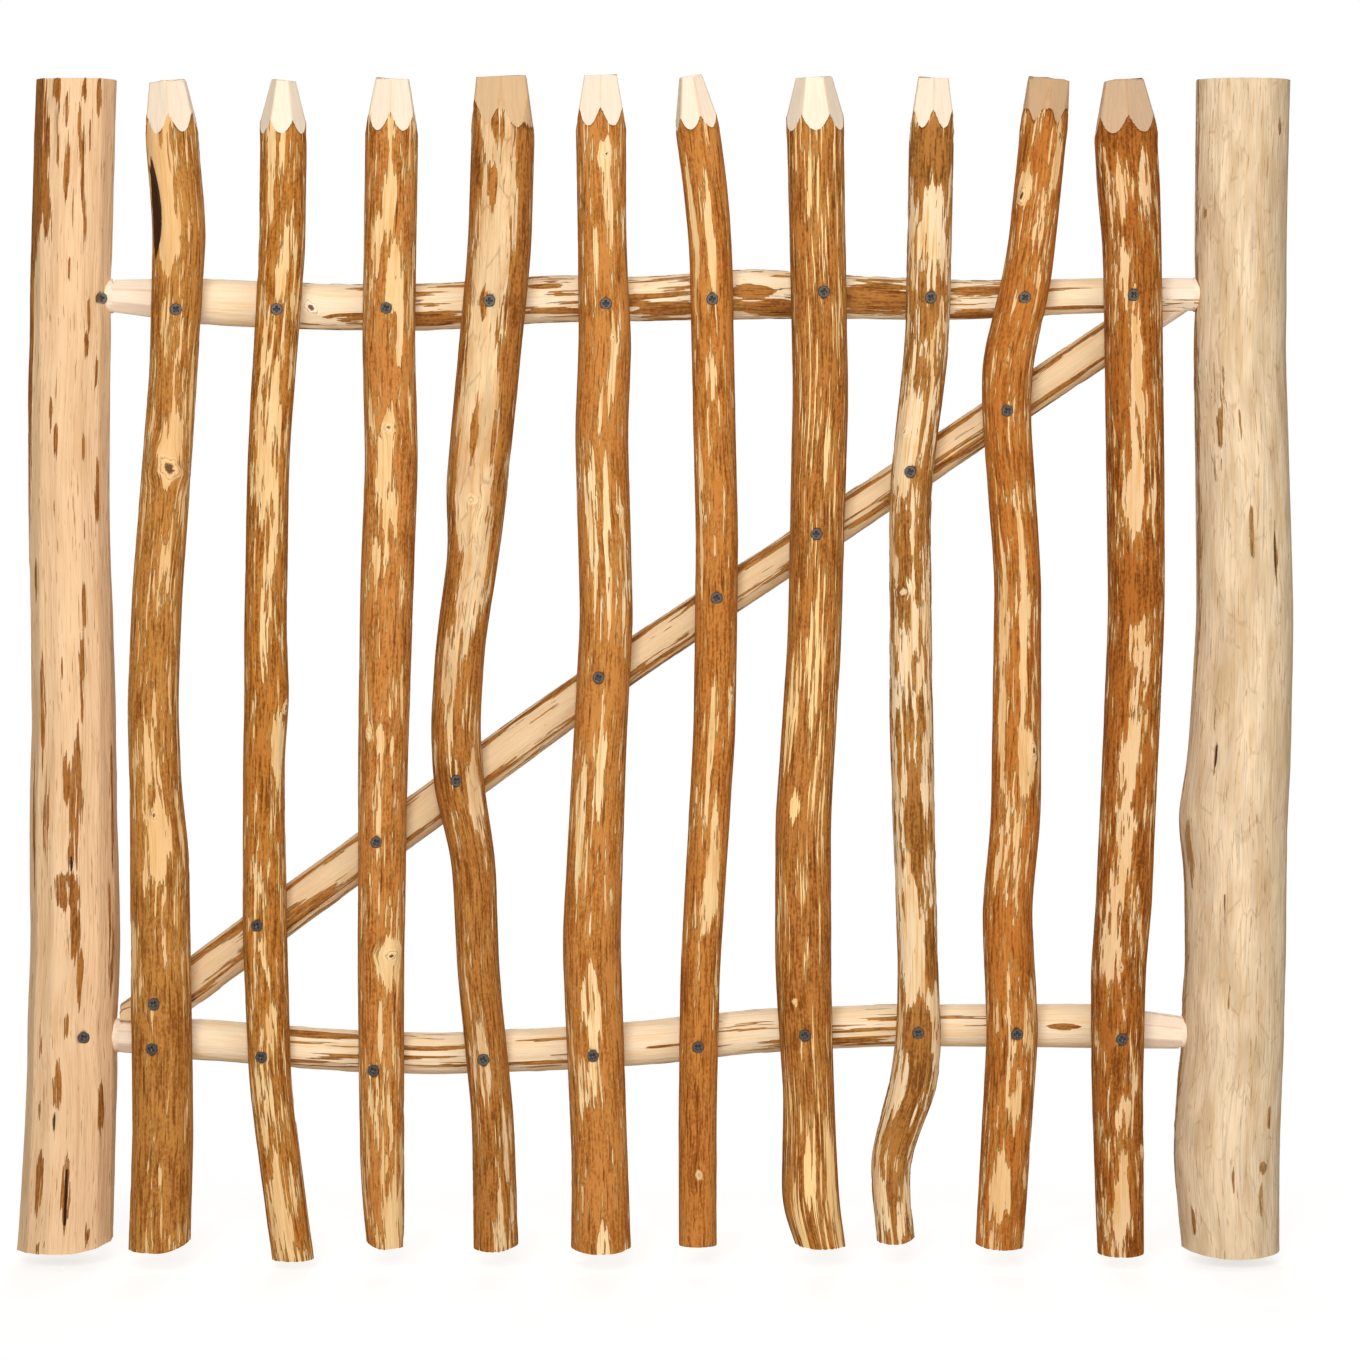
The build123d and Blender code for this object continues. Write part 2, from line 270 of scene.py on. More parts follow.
@dataclass(frozen=True)
class HazelSkin:
    """Round hazel with its bark torn off in long streaks.

    It gives the eye a warm brown, fibrous bark with crisp, pale, spindle-shaped tears along the
    grain, a paler inner bark at their rims, dark knots, and fresh wood where a knife has cut.
    Widths and lengths are in millimetres. The level is how hard the bark is to tear off.
    """

    name: str
    bark: str = "#BC8043"
    bark_dark: str = "#8E561F"
    # Dark furrows in the bark, and also the painted shadow along the bark's torn edges
    furrow_and_torn_edge_shade: str = "#62340E"
    inner: str = "#D09A50"
    bare: str = "#F3CE96"
    bare_deep: str = "#DDAB6C"
    fresh: str = "#F4E0C8"
    knot_ring: str = "#8A5527"
    knot_heart: str = "#4E2F17"
    crack: str = "#2C180B"
    # Painted shade round the screws' pits
    pit_shade: str = "#4A2F18"
    level: float = 0.12
    streak_width: float = 3.6
    streak_length: float = 46.0
    thread_width: float = 1.3
    thread_length: float = 60.0
    wood_fibre: float = 0.12
    hairline: float = 0.0
    flaking: float = 0.0
    mottle: float = 0.3

    # Width and length of each pattern in millimetres, and its detail where that is more than usual.
    # Hazel's own fibres, furrows and checks are finer than half a millimetre, too fine to show in the
    # picture, so they are drawn as coarse as they need to be to show.
    FIBRES = (1.9, 24.0, 4.0)
    CLOUDS = (14.0, 60.0)
    SPECKS = (1.8, 3.0)
    FURROWS = (1.7, 26.0)
    CHECKS = (1.2, 24.0)
    FLAKED = (9.0, 24.0)
    # A flake's size across the stick, into it and along it
    FLAKES = (8.0, 8.0, 34.0)
    RELIEF = 1.3 * MM

    def build(self) -> bpy.types.Material:
        """Build the material.

        Returns:
            A material that reads the stick's own attributes.
        """
        material, nodes = new_material(self.name)
        add = nodes.add
        grain = add(DRAWN, out="Vector", attribute_name="grain")
        drawn = {
            name: add(DRAWN, out="Fac", attribute_name=name)
            for name in ("bias", "cut", "arris", "knot", "split", "bore")
        }
        noises = {
            "fibres": nodes.along_grain(grain, *self.FIBRES),
            "threads": nodes.along_grain(grain, self.thread_width, self.thread_length, 3.0),
            "clouds": nodes.along_grain(grain, *self.CLOUDS),
            "specks": nodes.along_grain(grain, *self.SPECKS),
        }
        torn = nodes.bareness(grain, drawn["bias"], self.streak_width, self.streak_length)
        bare = add(RANGE, (torn, self.level - 0.012, self.level + 0.012), **SMOOTH)
        bark = self.barked(nodes, grain, torn, noises)
        wood = self.bared(nodes, grain, noises)
        knife_edge = add(MATH, (noises["fibres"], 0.35, drawn["cut"]), operation="MULTIPLY_ADD")
        knife = add(RANGE, (knife_edge, 0.48, 0.56), **SMOOTH)
        rind = add(RANGE, (knife_edge, 0.26, 0.42, 0.0, 0.7), **SMOOTH)
        kept = add(MATH, (1.0, bare), operation="SUBTRACT")
        rind = add(MATH, (rind, kept), operation="MULTIPLY")
        fresh = self.cut_fresh(nodes, noises["fibres"], drawn["arris"])
        surface = nodes.coats(bark, (bare, wood), (rind, srgb(self.furrow_and_torn_edge_shade)), (knife, fresh))
        surface = self.marked(nodes, surface, drawn, noises)

        relief = add(MATH, (noises["fibres"], 0.6), operation="MULTIPLY")
        relief = add(MATH, (bare, -0.4, relief), operation="MULTIPLY_ADD")
        uncut = add(MATH, (knife, -0.85, 1.0), operation="MULTIPLY_ADD")
        relief = add(MATH, (relief, uncut), operation="MULTIPLY")
        bump = add("ShaderNodeBump", {"Height": relief, "Strength": 1.0, "Distance": self.RELIEF})
        inputs = {"Base Color": surface, "Roughness": 0.8, "Specular IOR Level": 0.08, "Normal": bump}
        add(SURFACE_OUT, {"Surface": add(PRINCIPLED, inputs)})
        return material

    def barked(self, nodes: Nodes, grain: Socket, torn: Socket, noises: dict[str, Socket]) -> Socket:
        """Colour the bark, with dark furrows, a paler rim where it is torn and a painted shadow along the
        torn edge.

        Args:
            nodes: The material's tree.
            grain: Straightened coordinates in millimetres.
            torn: How far the bark is torn off.
            noises: The finer patterns by name.

        Returns:
            The bark's colour.
        """
        add, level = nodes.add, self.level
        tone = add(MATH, (noises["fibres"], 0.45), operation="MULTIPLY")
        tone = add(MATH, (noises["clouds"], 0.25, tone), operation="MULTIPLY_ADD")
        tone = add(MATH, (noises["specks"], 0.3, tone), operation="MULTIPLY_ADD")
        light = add(RANGE, (tone, 0.4, 0.56), **SMOOTH)
        furrows = add(RANGE, (nodes.along_grain(grain, *self.FURROWS), 0.59, 0.66, 0.0, 0.78), **SMOOTH)
        rim = add(RANGE, (torn, level - 0.11, level - 0.03, 0.0, 0.45), **SMOOTH)
        # Painted shadow: a dark line on the bark just short of each tear, standing in for the shade that the
        # bark's thickness casts
        torn_edge_shadow = add(RANGE, (torn, level - 0.035, level - 0.015, 0.0, 0.55), **SMOOTH)
        furrow_and_torn_edge_shade = srgb(self.furrow_and_torn_edge_shade)
        layers = ((light, srgb(self.bark)), (furrows, furrow_and_torn_edge_shade), (rim, srgb(self.inner)), (torn_edge_shadow, furrow_and_torn_edge_shade))
        return nodes.coats(srgb(self.bark_dark), *layers)

    def bared(self, nodes: Nodes, grain: Socket, noises: dict[str, Socket]) -> Socket:
        """Colour the bared wood, with threads, fine checks and the edges of flakes.

        Args:
            nodes: The material's tree.
            grain: Straightened coordinates in millimetres.
            noises: The finer patterns by name.

        Returns:
            The wood's colour.
        """
        add, dark = nodes.add, srgb(self.bark_dark)
        tone = nodes.coats(noises["threads"], (self.mottle, noises["clouds"]))
        deep = add(RANGE, (tone, 0.44, 0.62), **SMOOTH)
        wood = nodes.coats(srgb(self.bare), (deep, srgb(self.bare_deep)))
        lines = add(RANGE, (noises["threads"], 0.35, 0.6, 1.0 - self.wood_fibre, 1.0), **SMOOTH)
        wood = add(MIX, {0: 1.0, 6: wood, 7: lines}, blend_type="MULTIPLY", **COLOURS)
        checks = nodes.along_grain(grain, *self.CHECKS)
        wood = nodes.coats(wood, (add(RANGE, (checks, 0.63, 0.69, 0.0, self.hairline), **SMOOTH), dark))
        if self.flaking:
            wavy = add(VECTORS, (grain, noises["specks"]), operation="ADD")
            place = add(VECTORS, (wavy, self.FLAKES), operation="DIVIDE")
            inputs = {"Vector": place, "Scale": 1.0}
            inside = add("ShaderNodeTexVoronoi", inputs, out="Distance", feature="DISTANCE_TO_EDGE")
            edges = add(RANGE, (inside, 0.01, 0.06, self.flaking, 0.0), **SMOOTH)
            some = add(RANGE, (nodes.along_grain(grain, *self.FLAKED), 0.46, 0.58), **SMOOTH)
            wood = nodes.coats(wood, (add(MATH, (edges, some), operation="MULTIPLY"), dark))
        return wood

    def cut_fresh(self, nodes: Nodes, fibres: Socket, arris: Socket) -> Socket:
        """Colour the wood that a knife has cut, with painted shade along its arrises.

        Args:
            nodes: The material's tree.
            fibres: The pattern of fibres.
            arris: Where one cut face meets the next.

        Returns:
            The cut wood's colour.
        """
        lines = nodes.add(RANGE, (fibres, 0.3, 0.65, 0.94, 1.02), **SMOOTH)
        inputs = {0: 1.0, 6: srgb(self.fresh), 7: lines}
        fresh = nodes.add(MIX, inputs, blend_type="MULTIPLY", **COLOURS)
        # Painted shade: the arrises are darkened towards the bark's colour so that the cut faces show
        return nodes.coats(fresh, (nodes.add(MATH, (arris, 0.32), operation="MULTIPLY"), srgb(self.bark)))

    def marked(
        self, nodes: Nodes, surface: Socket, drawn: dict[str, Socket], noises: dict[str, Socket]
    ) -> Socket:
        """Lay knots with their rings, cracks and painted shade round the pits of the screws over a colour.

        Args:
            nodes: The material's tree.
            surface: The colour below.
            drawn: The stick's own attributes by name.
            noises: The finer patterns by name.

        Returns:
            The finished colour.
        """
        add, knot, specks = nodes.add, drawn["knot"], noises["specks"]
        swirl = add(MATH, (knot, 19.0), operation="MULTIPLY")
        swirl = add(MATH, (noises["clouds"], 6.0, swirl), operation="MULTIPLY_ADD")
        swirl = add(MATH, (specks, 8.0, swirl), operation="MULTIPLY_ADD")
        rings = add(RANGE, (add(MATH, (swirl,), operation="SINE"), 0.3, 0.95, 0.0, 0.6), **SMOOTH)
        rings = add(MATH, (rings, add(RANGE, (knot, 0.2, 0.45), **SMOOTH)), operation="MULTIPLY")
        heart = add(MATH, (specks, 0.16, knot), operation="MULTIPLY_ADD")
        crack = add(MATH, (specks, 0.3, drawn["split"]), operation="MULTIPLY_ADD")
        return nodes.coats(
            surface,
            (add(RANGE, (knot, 0.12, 0.3, 0.0, 0.8), **SMOOTH), srgb(self.bare)),
            (rings, srgb(self.knot_ring)),
            (add(RANGE, (heart, 0.72, 0.84, 0.0, 0.9), **SMOOTH), srgb(self.knot_heart)),
            (add(RANGE, (crack, 0.4, 0.75, 0.0, 0.96), **SMOOTH), srgb(self.crack)),
            # Painted shade round each screw's pit
            (add(RANGE, (drawn["bore"], 0.1, 0.7, 0.0, 0.8), **SMOOTH), srgb(self.pit_shade)),
        )


@dataclass(frozen=True)
class SawnEnd:
    """Sawn end grain: pale wood with faint growth rings and a dark pith."""

    name: str = "hazel_sawn_end_grain"
    wood: str = "#E9CFA3"
    ring: str = "#C79C63"
    pith: str = "#8A5A2C"

    # Radians per mm, so a growth ring every 2.6 mm
    RING_WAVE = 2.4
    # Per metre, so a pattern of about 17 mm pushes the rings about
    WANDER = 60.0

    def build(self) -> bpy.types.Material:
        """Build the material.

        Returns:
            A material that reads the distance from the stick's middle.
        """
        material, nodes = new_material(self.name)
        add = nodes.add
        ring = add(DRAWN, out="Fac", attribute_name="ring")
        place = add("ShaderNodeTexCoord", out="Object")
        wander = add("ShaderNodeTexNoise", {"Vector": place, "Scale": self.WANDER, "Detail": 3.0})
        years = add(MATH, (ring, self.RING_WAVE), operation="MULTIPLY")
        years = add(MATH, (wander, 3.0, years), operation="MULTIPLY_ADD")
        wave = add(RANGE, (add(MATH, (years,), operation="SINE"), 0.2, 0.95, 0.0, 0.6), **SMOOTH)
        middle = add(RANGE, (ring, 0.8, 1.8, 1.0, 0.0), **SMOOTH)
        surface = nodes.coats(srgb(self.wood), (wave, srgb(self.ring)), (middle, srgb(self.pith)))
        add(SURFACE_OUT, {"Surface": add(PRINCIPLED, {"Base Color": surface, "Roughness": 0.85})})
        return material


@dataclass(frozen=True)
class ScrewSteel:
    """Dark plated screw steel, which gives the eye a dull grey head with a nearly black cross."""

    name: str = "screw_steel_dark_plated"
    colour: str = "#47413D"

    def build(self) -> bpy.types.Material:
        """Build the material.

        Returns:
            A plain metal.
        """
        material, nodes = new_material(self.name)
        inputs = {"Base Color": srgb(self.colour), "Metallic": 0.75, "Roughness": 0.5}
        nodes.add(SURFACE_OUT, {"Surface": nodes.add(PRINCIPLED, inputs)})
        return material


@dataclass(frozen=True)
class StudioWhite:
    """A pale floor, white to the eye, that bounces soft light and keeps the gate's own soft shadow.

    The middle of the gate and the shadow's reach are in metres.
    """

    name: str = "studio_floor_pale"
    colour: str = "#F2F0EC"
    bounce: str = "#CFCBC4"
    middle: float = 0.46
    shadow_reach: float = 0.5
    shadow_share: float = 0.5

    def build(self) -> bpy.types.Material:
        """Build the material.

        Returns:
            A diffuse floor that is lifted to white where it is looked at.
        """
        material, nodes = new_material(self.name)
        add = nodes.add
        x, y, _ = add("ShaderNodeSeparateXYZ", (add("ShaderNodeTexCoord", out="Object"),)).node.outputs
        off = add(MATH, (add(MATH, (x, self.middle), operation="SUBTRACT"),), operation="ABSOLUTE")
        beside = add(RANGE, (off, 0.5, 1.1, 1.0, 0.0), **SMOOTH)
        depth = add(MATH, (y,), operation="ABSOLUTE")
        share = add(RANGE, (depth, 0.1, self.shadow_reach, self.shadow_share, 0.0), **SMOOTH)
        share = add(MATH, (share, beside), operation="MULTIPLY")
        lift = add(MATH, (share, -0.6, 1.0), operation="MULTIPLY_ADD")
        white = add("ShaderNodeEmission", {"Color": WHITE, "Strength": lift})
        lit = add("ShaderNodeMixShader", {0: share, 2: add("ShaderNodeBsdfDiffuse", (srgb(self.colour),))})
        shown = add("ShaderNodeAddShader", (white, lit))
        dim = add("ShaderNodeBsdfDiffuse", (srgb(self.bounce),))
        both = add("ShaderNodeMixShader", (nodes.looked_at(), dim, shown))
        add(SURFACE_OUT, {"Surface": both})
        return material


def ease(values: np.ndarray, low: float, high: float) -> np.ndarray:
    """Ease from 0 to 1 while values rise from low to high.

    Args:
        values: The values.
        low: Where the rise begins.
        high: Where the rise ends.

    Returns:
        Numbers from 0 to 1, shaped as the values.
    """
    t = np.clip((values - low) / (high - low), 0.0, 1.0)
    return t * t * (3 - 2 * t)


@dataclass
class Trace:
    """A stick's shape, read off its CAD node at stations along it, in metres.

    The girth is half the mean thickness. The cut is how deep a knife has gone, an arris is where two
    cut faces meet, and whole is 1 where the stick is round and 0 where its end is shaped.
    """

    heading: np.ndarray
    along: np.ndarray
    middle: np.ndarray
    girth: np.ndarray
    rings: np.ndarray
    cut: np.ndarray
    arris: np.ndarray
    whole: np.ndarray

    # Spacing of the stations at shaped ends and between them, and how far bends are rounded
    FINE = 1.3 * MM
    COARSE = 3.0 * MM
    ROUNDING = 13.0 * MM
    # How far inside its end faces a stick is sliced and probed
    SLICE_INSET = 0.02 * MM
    PROBE_INSET = 0.05 * MM
    # Where a shaped end passes into the round stick, before and after the shoulder
    SHOULDER = (10.0 * MM, 2.0 * MM)
    ARRIS_BEND = (math.radians(9), math.radians(22))

    @classmethod
    def of(cls, node: bpy.types.Object, lay: Lay, ends: tuple[float, float], sides: int) -> Trace:
        """Read a stick off its CAD node.

        Args:
            node: The CAD node.
            lay: Which way it lies.
            ends: Lengths at its lower and upper end that a knife or saw has shaped, in metres.
            sides: How many points to take round the stick.

        Returns:
            The traced stick.
        """
        mesh = node.data
        points = np.array([v.co for v in mesh.vertices])
        heading = lay.heading(points)
        side = np.cross(heading, FRONT)
        reach = points @ heading
        low, high = reach.min(), reach.max()
        along = cls.stations(low, high, ends)
        hubs, half = cls.sections(mesh, points, heading, along)
        sound = (along > low + ends[0] - 1e-6) & (along < high - ends[1] + 1e-6)
        girth = np.interp(along, along[sound], half[sound])
        middle = cls.rounded(along, cls.extended(along, hubs, sound))
        girth = cls.rounded(along, girth[:, None])[:, 0]

        angles = np.arange(sides) * 2 * math.pi / sides
        spokes = np.sin(angles)[:, None] * side + np.cos(angles)[:, None] * FRONT
        rings = middle[:, None, :] + girth[:, None, None] * spokes
        whole = np.ones(len(along))
        before, after = cls.SHOULDER
        if ends[0] > 0:
            whole *= ease(along, low + ends[0] - before, low + ends[0] + after)
        if ends[1] > 0:
            whole *= 1 - ease(along, high - ends[1] - after, high - ends[1] + before)
        tree = BVHTree.FromPolygons(points.tolist(), [p.vertices[:] for p in mesh.polygons])
        inset = np.clip(along, low + cls.PROBE_INSET, high - cls.PROBE_INSET) - along
        cut = np.zeros(rings.shape[:2])
        for i in np.flatnonzero(whole < 1):
            hub = hubs[i] + heading * inset[i]
            for j, spoke in enumerate(spokes):
                hit = tree.ray_cast(Vector(hub), Vector(spoke))[0]
                found = np.array(hit) - heading * inset[i] if hit else hubs[i]
                distance = np.linalg.norm(found - middle[i])
                cut[i, j] = (girth[i] - distance) * (1 - whole[i])
                rings[i, j] += (found - rings[i, j]) * (1 - whole[i])
        edge = np.roll(rings, -1, axis=1) - rings
        edge /= np.linalg.norm(edge, axis=2, keepdims=True) + 1e-9
        bend = np.arccos(np.clip((edge * np.roll(edge, 1, axis=1)).sum(axis=2), -1, 1))
        arris = ease(bend, *cls.ARRIS_BEND) * (1 - whole[:, None])
        return cls(heading, along, middle, girth, rings, cut, arris, whole)

    @classmethod
    def stations(cls, low: float, high: float, ends: tuple[float, float]) -> np.ndarray:
        """Choose where to slice a stick: closely at its shaped ends and coarsely between them.

        Args:
            low: Where the stick begins.
            high: Where it ends.
            ends: Lengths of its shaped ends.

        Returns:
            Places along the stick, from low to high.
        """
        marks = [low, low + ends[0], high - ends[1], high]
        rows = []
        for start, end, step in zip(marks, marks[1:], (cls.FINE, cls.COARSE, cls.FINE)):
            if end > start:
                rows.append(np.linspace(start, end, max(2, round((end - start) / step)), endpoint=False))
        return np.append(np.concatenate(rows), high)

    @classmethod
    def sections(
        cls, mesh: bpy.types.Mesh, points: np.ndarray, heading: np.ndarray, along: np.ndarray
    ) -> tuple[np.ndarray, np.ndarray]:
        """Slice a stick at its stations.

        Args:
            mesh: The CAD mesh.
            points: Its vertices, one row each.
            heading: The direction that the stick runs in.
            along: The stations.

        Returns:
            The middle of each slice, and half its mean thickness.
        """
        side = np.cross(heading, FRONT)
        edges = np.array([e.vertices[:] for e in mesh.edges])
        reach = points @ heading
        first, last = reach[edges[:, 0]], reach[edges[:, 1]]
        hubs = np.empty((len(along), 3))
        half = np.empty(len(along))
        low, high = reach.min() + cls.SLICE_INSET, reach.max() - cls.SLICE_INSET
        for i, place in enumerate(np.clip(along, low, high)):
            crossing = (first - place) * (last - place) < 0
            share = ((place - first) / (last - first + (first == last)))[crossing]
            start, end = points[edges[crossing, 0]], points[edges[crossing, 1]]
            section = start + share[:, None] * (end - start)
            a, b = section @ side, section @ FRONT
            middle = side * (a.min() + a.max()) / 2 + FRONT * (b.min() + b.max()) / 2
            hubs[i] = middle + heading * along[i]
            half[i] = (np.ptp(a) + np.ptp(b)) / 4
        return hubs, half

    @staticmethod
    def extended(along: np.ndarray, hubs: np.ndarray, sound: np.ndarray) -> np.ndarray:
        """Carry the stick's middle straight on through its shaped ends.

        Args:
            along: The stations.
            hubs: The middle of each slice.
            sound: True where the slice is whole.

        Returns:
            The middle at every station.
        """
        known = np.flatnonzero(sound)
        first, last = known[0], known[-1]
        run = 12  # stations that the slope is taken over
        middle = hubs.copy()
        for edge, inner in ((first, min(first + run, last)), (last, max(last - run, first))):
            slope = (hubs[inner] - hubs[edge]) / (along[inner] - along[edge])
            outer = slice(0, first) if edge == first else slice(last + 1, None)
            middle[outer] = hubs[edge] + slope * (along[outer, None] - along[edge])
        return middle

    @classmethod
    def rounded(cls, along: np.ndarray, values: np.ndarray) -> np.ndarray:
        """Round off the corners where one straight span of a stick meets the next.

        Args:
            along: The stations.
            values: One row of numbers for each station.

        Returns:
            The smoothed numbers, unchanged at both ends.
        """
        reach = int(3 * cls.ROUNDING / cls.COARSE)
        grid = np.arange(along[0], along[-1], cls.COARSE)
        kernel = np.exp(-0.5 * (np.arange(-reach, reach + 1) * cls.COARSE / cls.ROUNDING) ** 2)
        kernel /= kernel.sum()
        smooth = np.empty_like(values)
        for column in range(values.shape[1]):
            row = np.interp(grid, along, values[:, column])
            row = np.pad(row, reach, mode="reflect", reflect_type="odd")
            smooth[:, column] = np.interp(along, grid, np.convolve(row, kernel, mode="valid"))
        return smooth


@dataclass
class Stick:
    """One stick of the gate: its CAD node's shape with the habit of grown, torn, cut hazel.

    The ends are the lengths in millimetres that are hewn or whittled. The lumpiness is a share of the
    girth, the relief is the bark's in millimetres, and flats are the facets that a drawknife left. The
    foot is worn away by so many millimetres at its left, front and right.
    """

    node: str
    skin: HazelSkin
    slot: str
    seed: int
    marks: list[Mark] = field(default_factory=list)
    lay: Lay = Lay.UPRIGHT
    ends: tuple[float, float] = (0.0, 0.0)
    sides: int = 84
    lumpiness: float = 0.02
    relief: float = 0.5
    flats: int = 0
    worn: tuple[float, float, float] = (1.5, 0.0, 1.5)

    # How much a mark helps the bark to tear or to stay
    TEAR, KEEP = 0.17, 0.27
    KNOT_RISE = 1.6 * MM
    PIT_DEPTH = 2.4 * MM
    CRACK_DEPTH = 1.5 * MM
    WORN_REACH = 30.0 * MM
    # Lumps round the stick: how many there are, and the millimetres over which they wander
    LUMPS = ((1, 190), (2, 260), (2, 120), (3, 90), (4, 60))
    # How far the grain sways round the stick, in radians
    SWAY = 0.02
    # How far drawknife flats swing round the stick, in radians, and over how many millimetres
    FLAT_SWING = (0.12, 140.0)
    # Millimetres below a picket's end where its tip begins to be cut all round, and where it is
    ALL_CUT = (30.0, 12.0)
    # Sets one stick's patterns apart from the next, in millimetres
    PATTERN_SHIFT = 137.0
    # The rings of an end face, as shares of its radius
    END_RINGS = (0.7, 0.35)

    def build(self, frame: dict, relief: bpy.types.NodeTree, sawn: bpy.types.Material) -> bpy.types.Object:
        """Build the stick and put it in its CAD node's place.

        Args:
            relief: The geometry tree that raises the bark.
            sawn: The finish of its sawn ends.

        Returns:
            The finished object.
        """
        ends = (self.ends[0] * MM, self.ends[1] * MM)
        trace = Trace.of(frame["nodes"][self.node], self.lay, ends, self.sides)
        fields = self.fields(trace)
        outward = trace.rings - trace.middle[:, None, :]
        outward /= np.linalg.norm(outward, axis=2, keepdims=True) + 1e-9
        trace.rings += outward * fields.pop("lift")[:, :, None]
        if self.lay is Lay.UPRIGHT:
            self.wear(trace)
        piece = self.mesh(trace, fields)
        skin = self.skin
        values = {
            "Streak Width": skin.streak_width,
            "Streak Length": skin.streak_length,
            "Bare Level": skin.level,
            "Depth": self.relief * MM,
            "Skin": skin.build(),
            "Sawn End": sawn,
        }
        apply_tree(piece, relief, values)
        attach(piece, "root")
        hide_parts(self.node)
        LOG.info("%s: %d faces", piece.name, len(piece.data.polygons))
        return piece

    def wear(self, trace: Trace) -> None:
        """Raise the left, front and right of the foot, as saw, mallet and damp leave them.

        Args:
            trace: The traced stick, whose lowest rings are raised.
        """
        angles = np.arange(self.sides) * 2 * math.pi / self.sides
        left, front, right = self.worn
        lean = np.sin(angles)
        rise = front * np.cos(angles) ** 2 + np.where(lean < 0, left, right) * lean**2
        near = 1 - ease(trace.along - trace.along[0], 0.0, self.WORN_REACH)
        trace.rings += near[:, None, None] * rise[None, :, None] * trace.heading * MM

    def fields(self, trace: Trace) -> dict[str, np.ndarray]:
        """Work out what is drawn and raised at each point of the surface.

        Args:
            trace: The traced stick.

        Returns:
            One number for each point of each ring, or a vector for the grain, by name.
        """
        angles = np.arange(self.sides) * 2 * math.pi / self.sides
        angles = np.where(angles > math.pi, angles - 2 * math.pi, angles)
        along = trace.along[:, None] / MM
        radius = trace.girth.mean() / MM
        shape = (len(trace.along), self.sides)
        fields = {name: np.zeros(shape) for name in ("bias", "knot", "split", "bore", "lift")}
        turn = np.zeros(shape) + angles
        for mark in self.marks:
            turn -= self.leave(mark, trace, angles, fields)
        chance = np.random.default_rng(self.seed)
        for turns, wave in self.LUMPS:
            phase = chance.uniform(0, 2 * math.pi, 2)
            swing = np.sin(turns * angles + phase[0] + 1.5 * np.sin(along / wave + phase[1]))
            fields["lift"] += swing * trace.girth[:, None] * self.lumpiness / turns
            turn += self.SWAY * np.sin(along / (0.4 * wave) + phase[1])
        if self.flats:
            span = 2 * math.pi / self.flats
            swing, wave = self.FLAT_SWING
            off = (angles + swing * np.sin(along / wave) + span / 2) % span - span / 2
            flat = math.cos(span / 2)
            fields["lift"] += trace.girth[:, None] * (flat / np.cos(off) - 0.5 - flat / 2)
        fields["lift"] *= trace.whole[:, None]
        fields["cut"] = trace.cut / MM
        fields["arris"] = trace.arris
        if self.lay is Lay.UPRIGHT and self.ends[1] > 0:
            low, high = self.ALL_CUT
            fields["cut"] += 2 * ease(along, along[-1] - low, along[-1] - high)
        drift = self.PATTERN_SHIFT * self.seed
        across, out = radius * np.sin(turn) + drift, radius * np.cos(turn)
        fields["grain"] = np.stack([across, out, along + 0 * turn], axis=2)
        return fields

    def leave(
        self, mark: Mark, trace: Trace, angles: np.ndarray, fields: dict[str, np.ndarray]
    ) -> np.ndarray | float:
        """Leave one mark on the stick.

        Args:
            mark: The mark.
            trace: The traced stick.
            angles: The bearing of each point round the stick, 0 at the front.
            fields: What is drawn and raised so far, which the mark changes.

        Returns:
            How far the grain turns aside.
        """
        here = np.interp(mark.place, trace.along / MM, trace.girth / MM)
        centre = math.asin(max(-1.0, min(1.0, mark.side / here)))
        across = (angles - centre + math.pi) % (2 * math.pi) - math.pi
        u = across[None, :] * here / (mark.width / 2)
        v = (trace.along[:, None] / MM - mark.place) / (mark.length / 2)
        near = np.sqrt(u * u + v * v)
        if mark.kind in (MarkKind.BARE, MarkKind.BARK):
            spindle = 1 - ease(np.abs(u) + v * v, 0.5, 1.5)
            change = self.TEAR if mark.kind is MarkKind.BARE else -self.KEEP
            fields["bias"] += change * mark.strength * spindle
        elif mark.kind is MarkKind.KNOT:
            bearing = np.arctan2(v, u)
            near *= 1 + 0.2 * np.sin(2 * bearing + mark.place) + 0.14 * np.sin(5 * bearing + 2 * mark.place)
            fields["knot"] = np.maximum(fields["knot"], np.clip(1 - near, 0, 1) * min(1.0, mark.strength))
            fields["lift"] += self.KNOT_RISE * mark.strength * np.exp(-1.5 * near**2)
            return across * 0.6 * np.exp(-0.5 * near**2)
        elif mark.kind is MarkKind.BORE:
            fields["bore"] = np.maximum(fields["bore"], 1 - ease(near, 0.8, 1.12))
            fields["lift"] -= self.PIT_DEPTH * mark.strength * (1 - ease(near, 0.75, 1.1))
        else:
            lens = np.clip(1 - v * v, 1e-3, None)
            inside = np.clip(1 - np.abs(u) / lens, 0, 1) * (np.abs(v) < 1)
            fields["split"] = np.maximum(fields["split"], inside * mark.strength)
            fields["lift"] -= self.CRACK_DEPTH * mark.strength * inside
        return 0.0

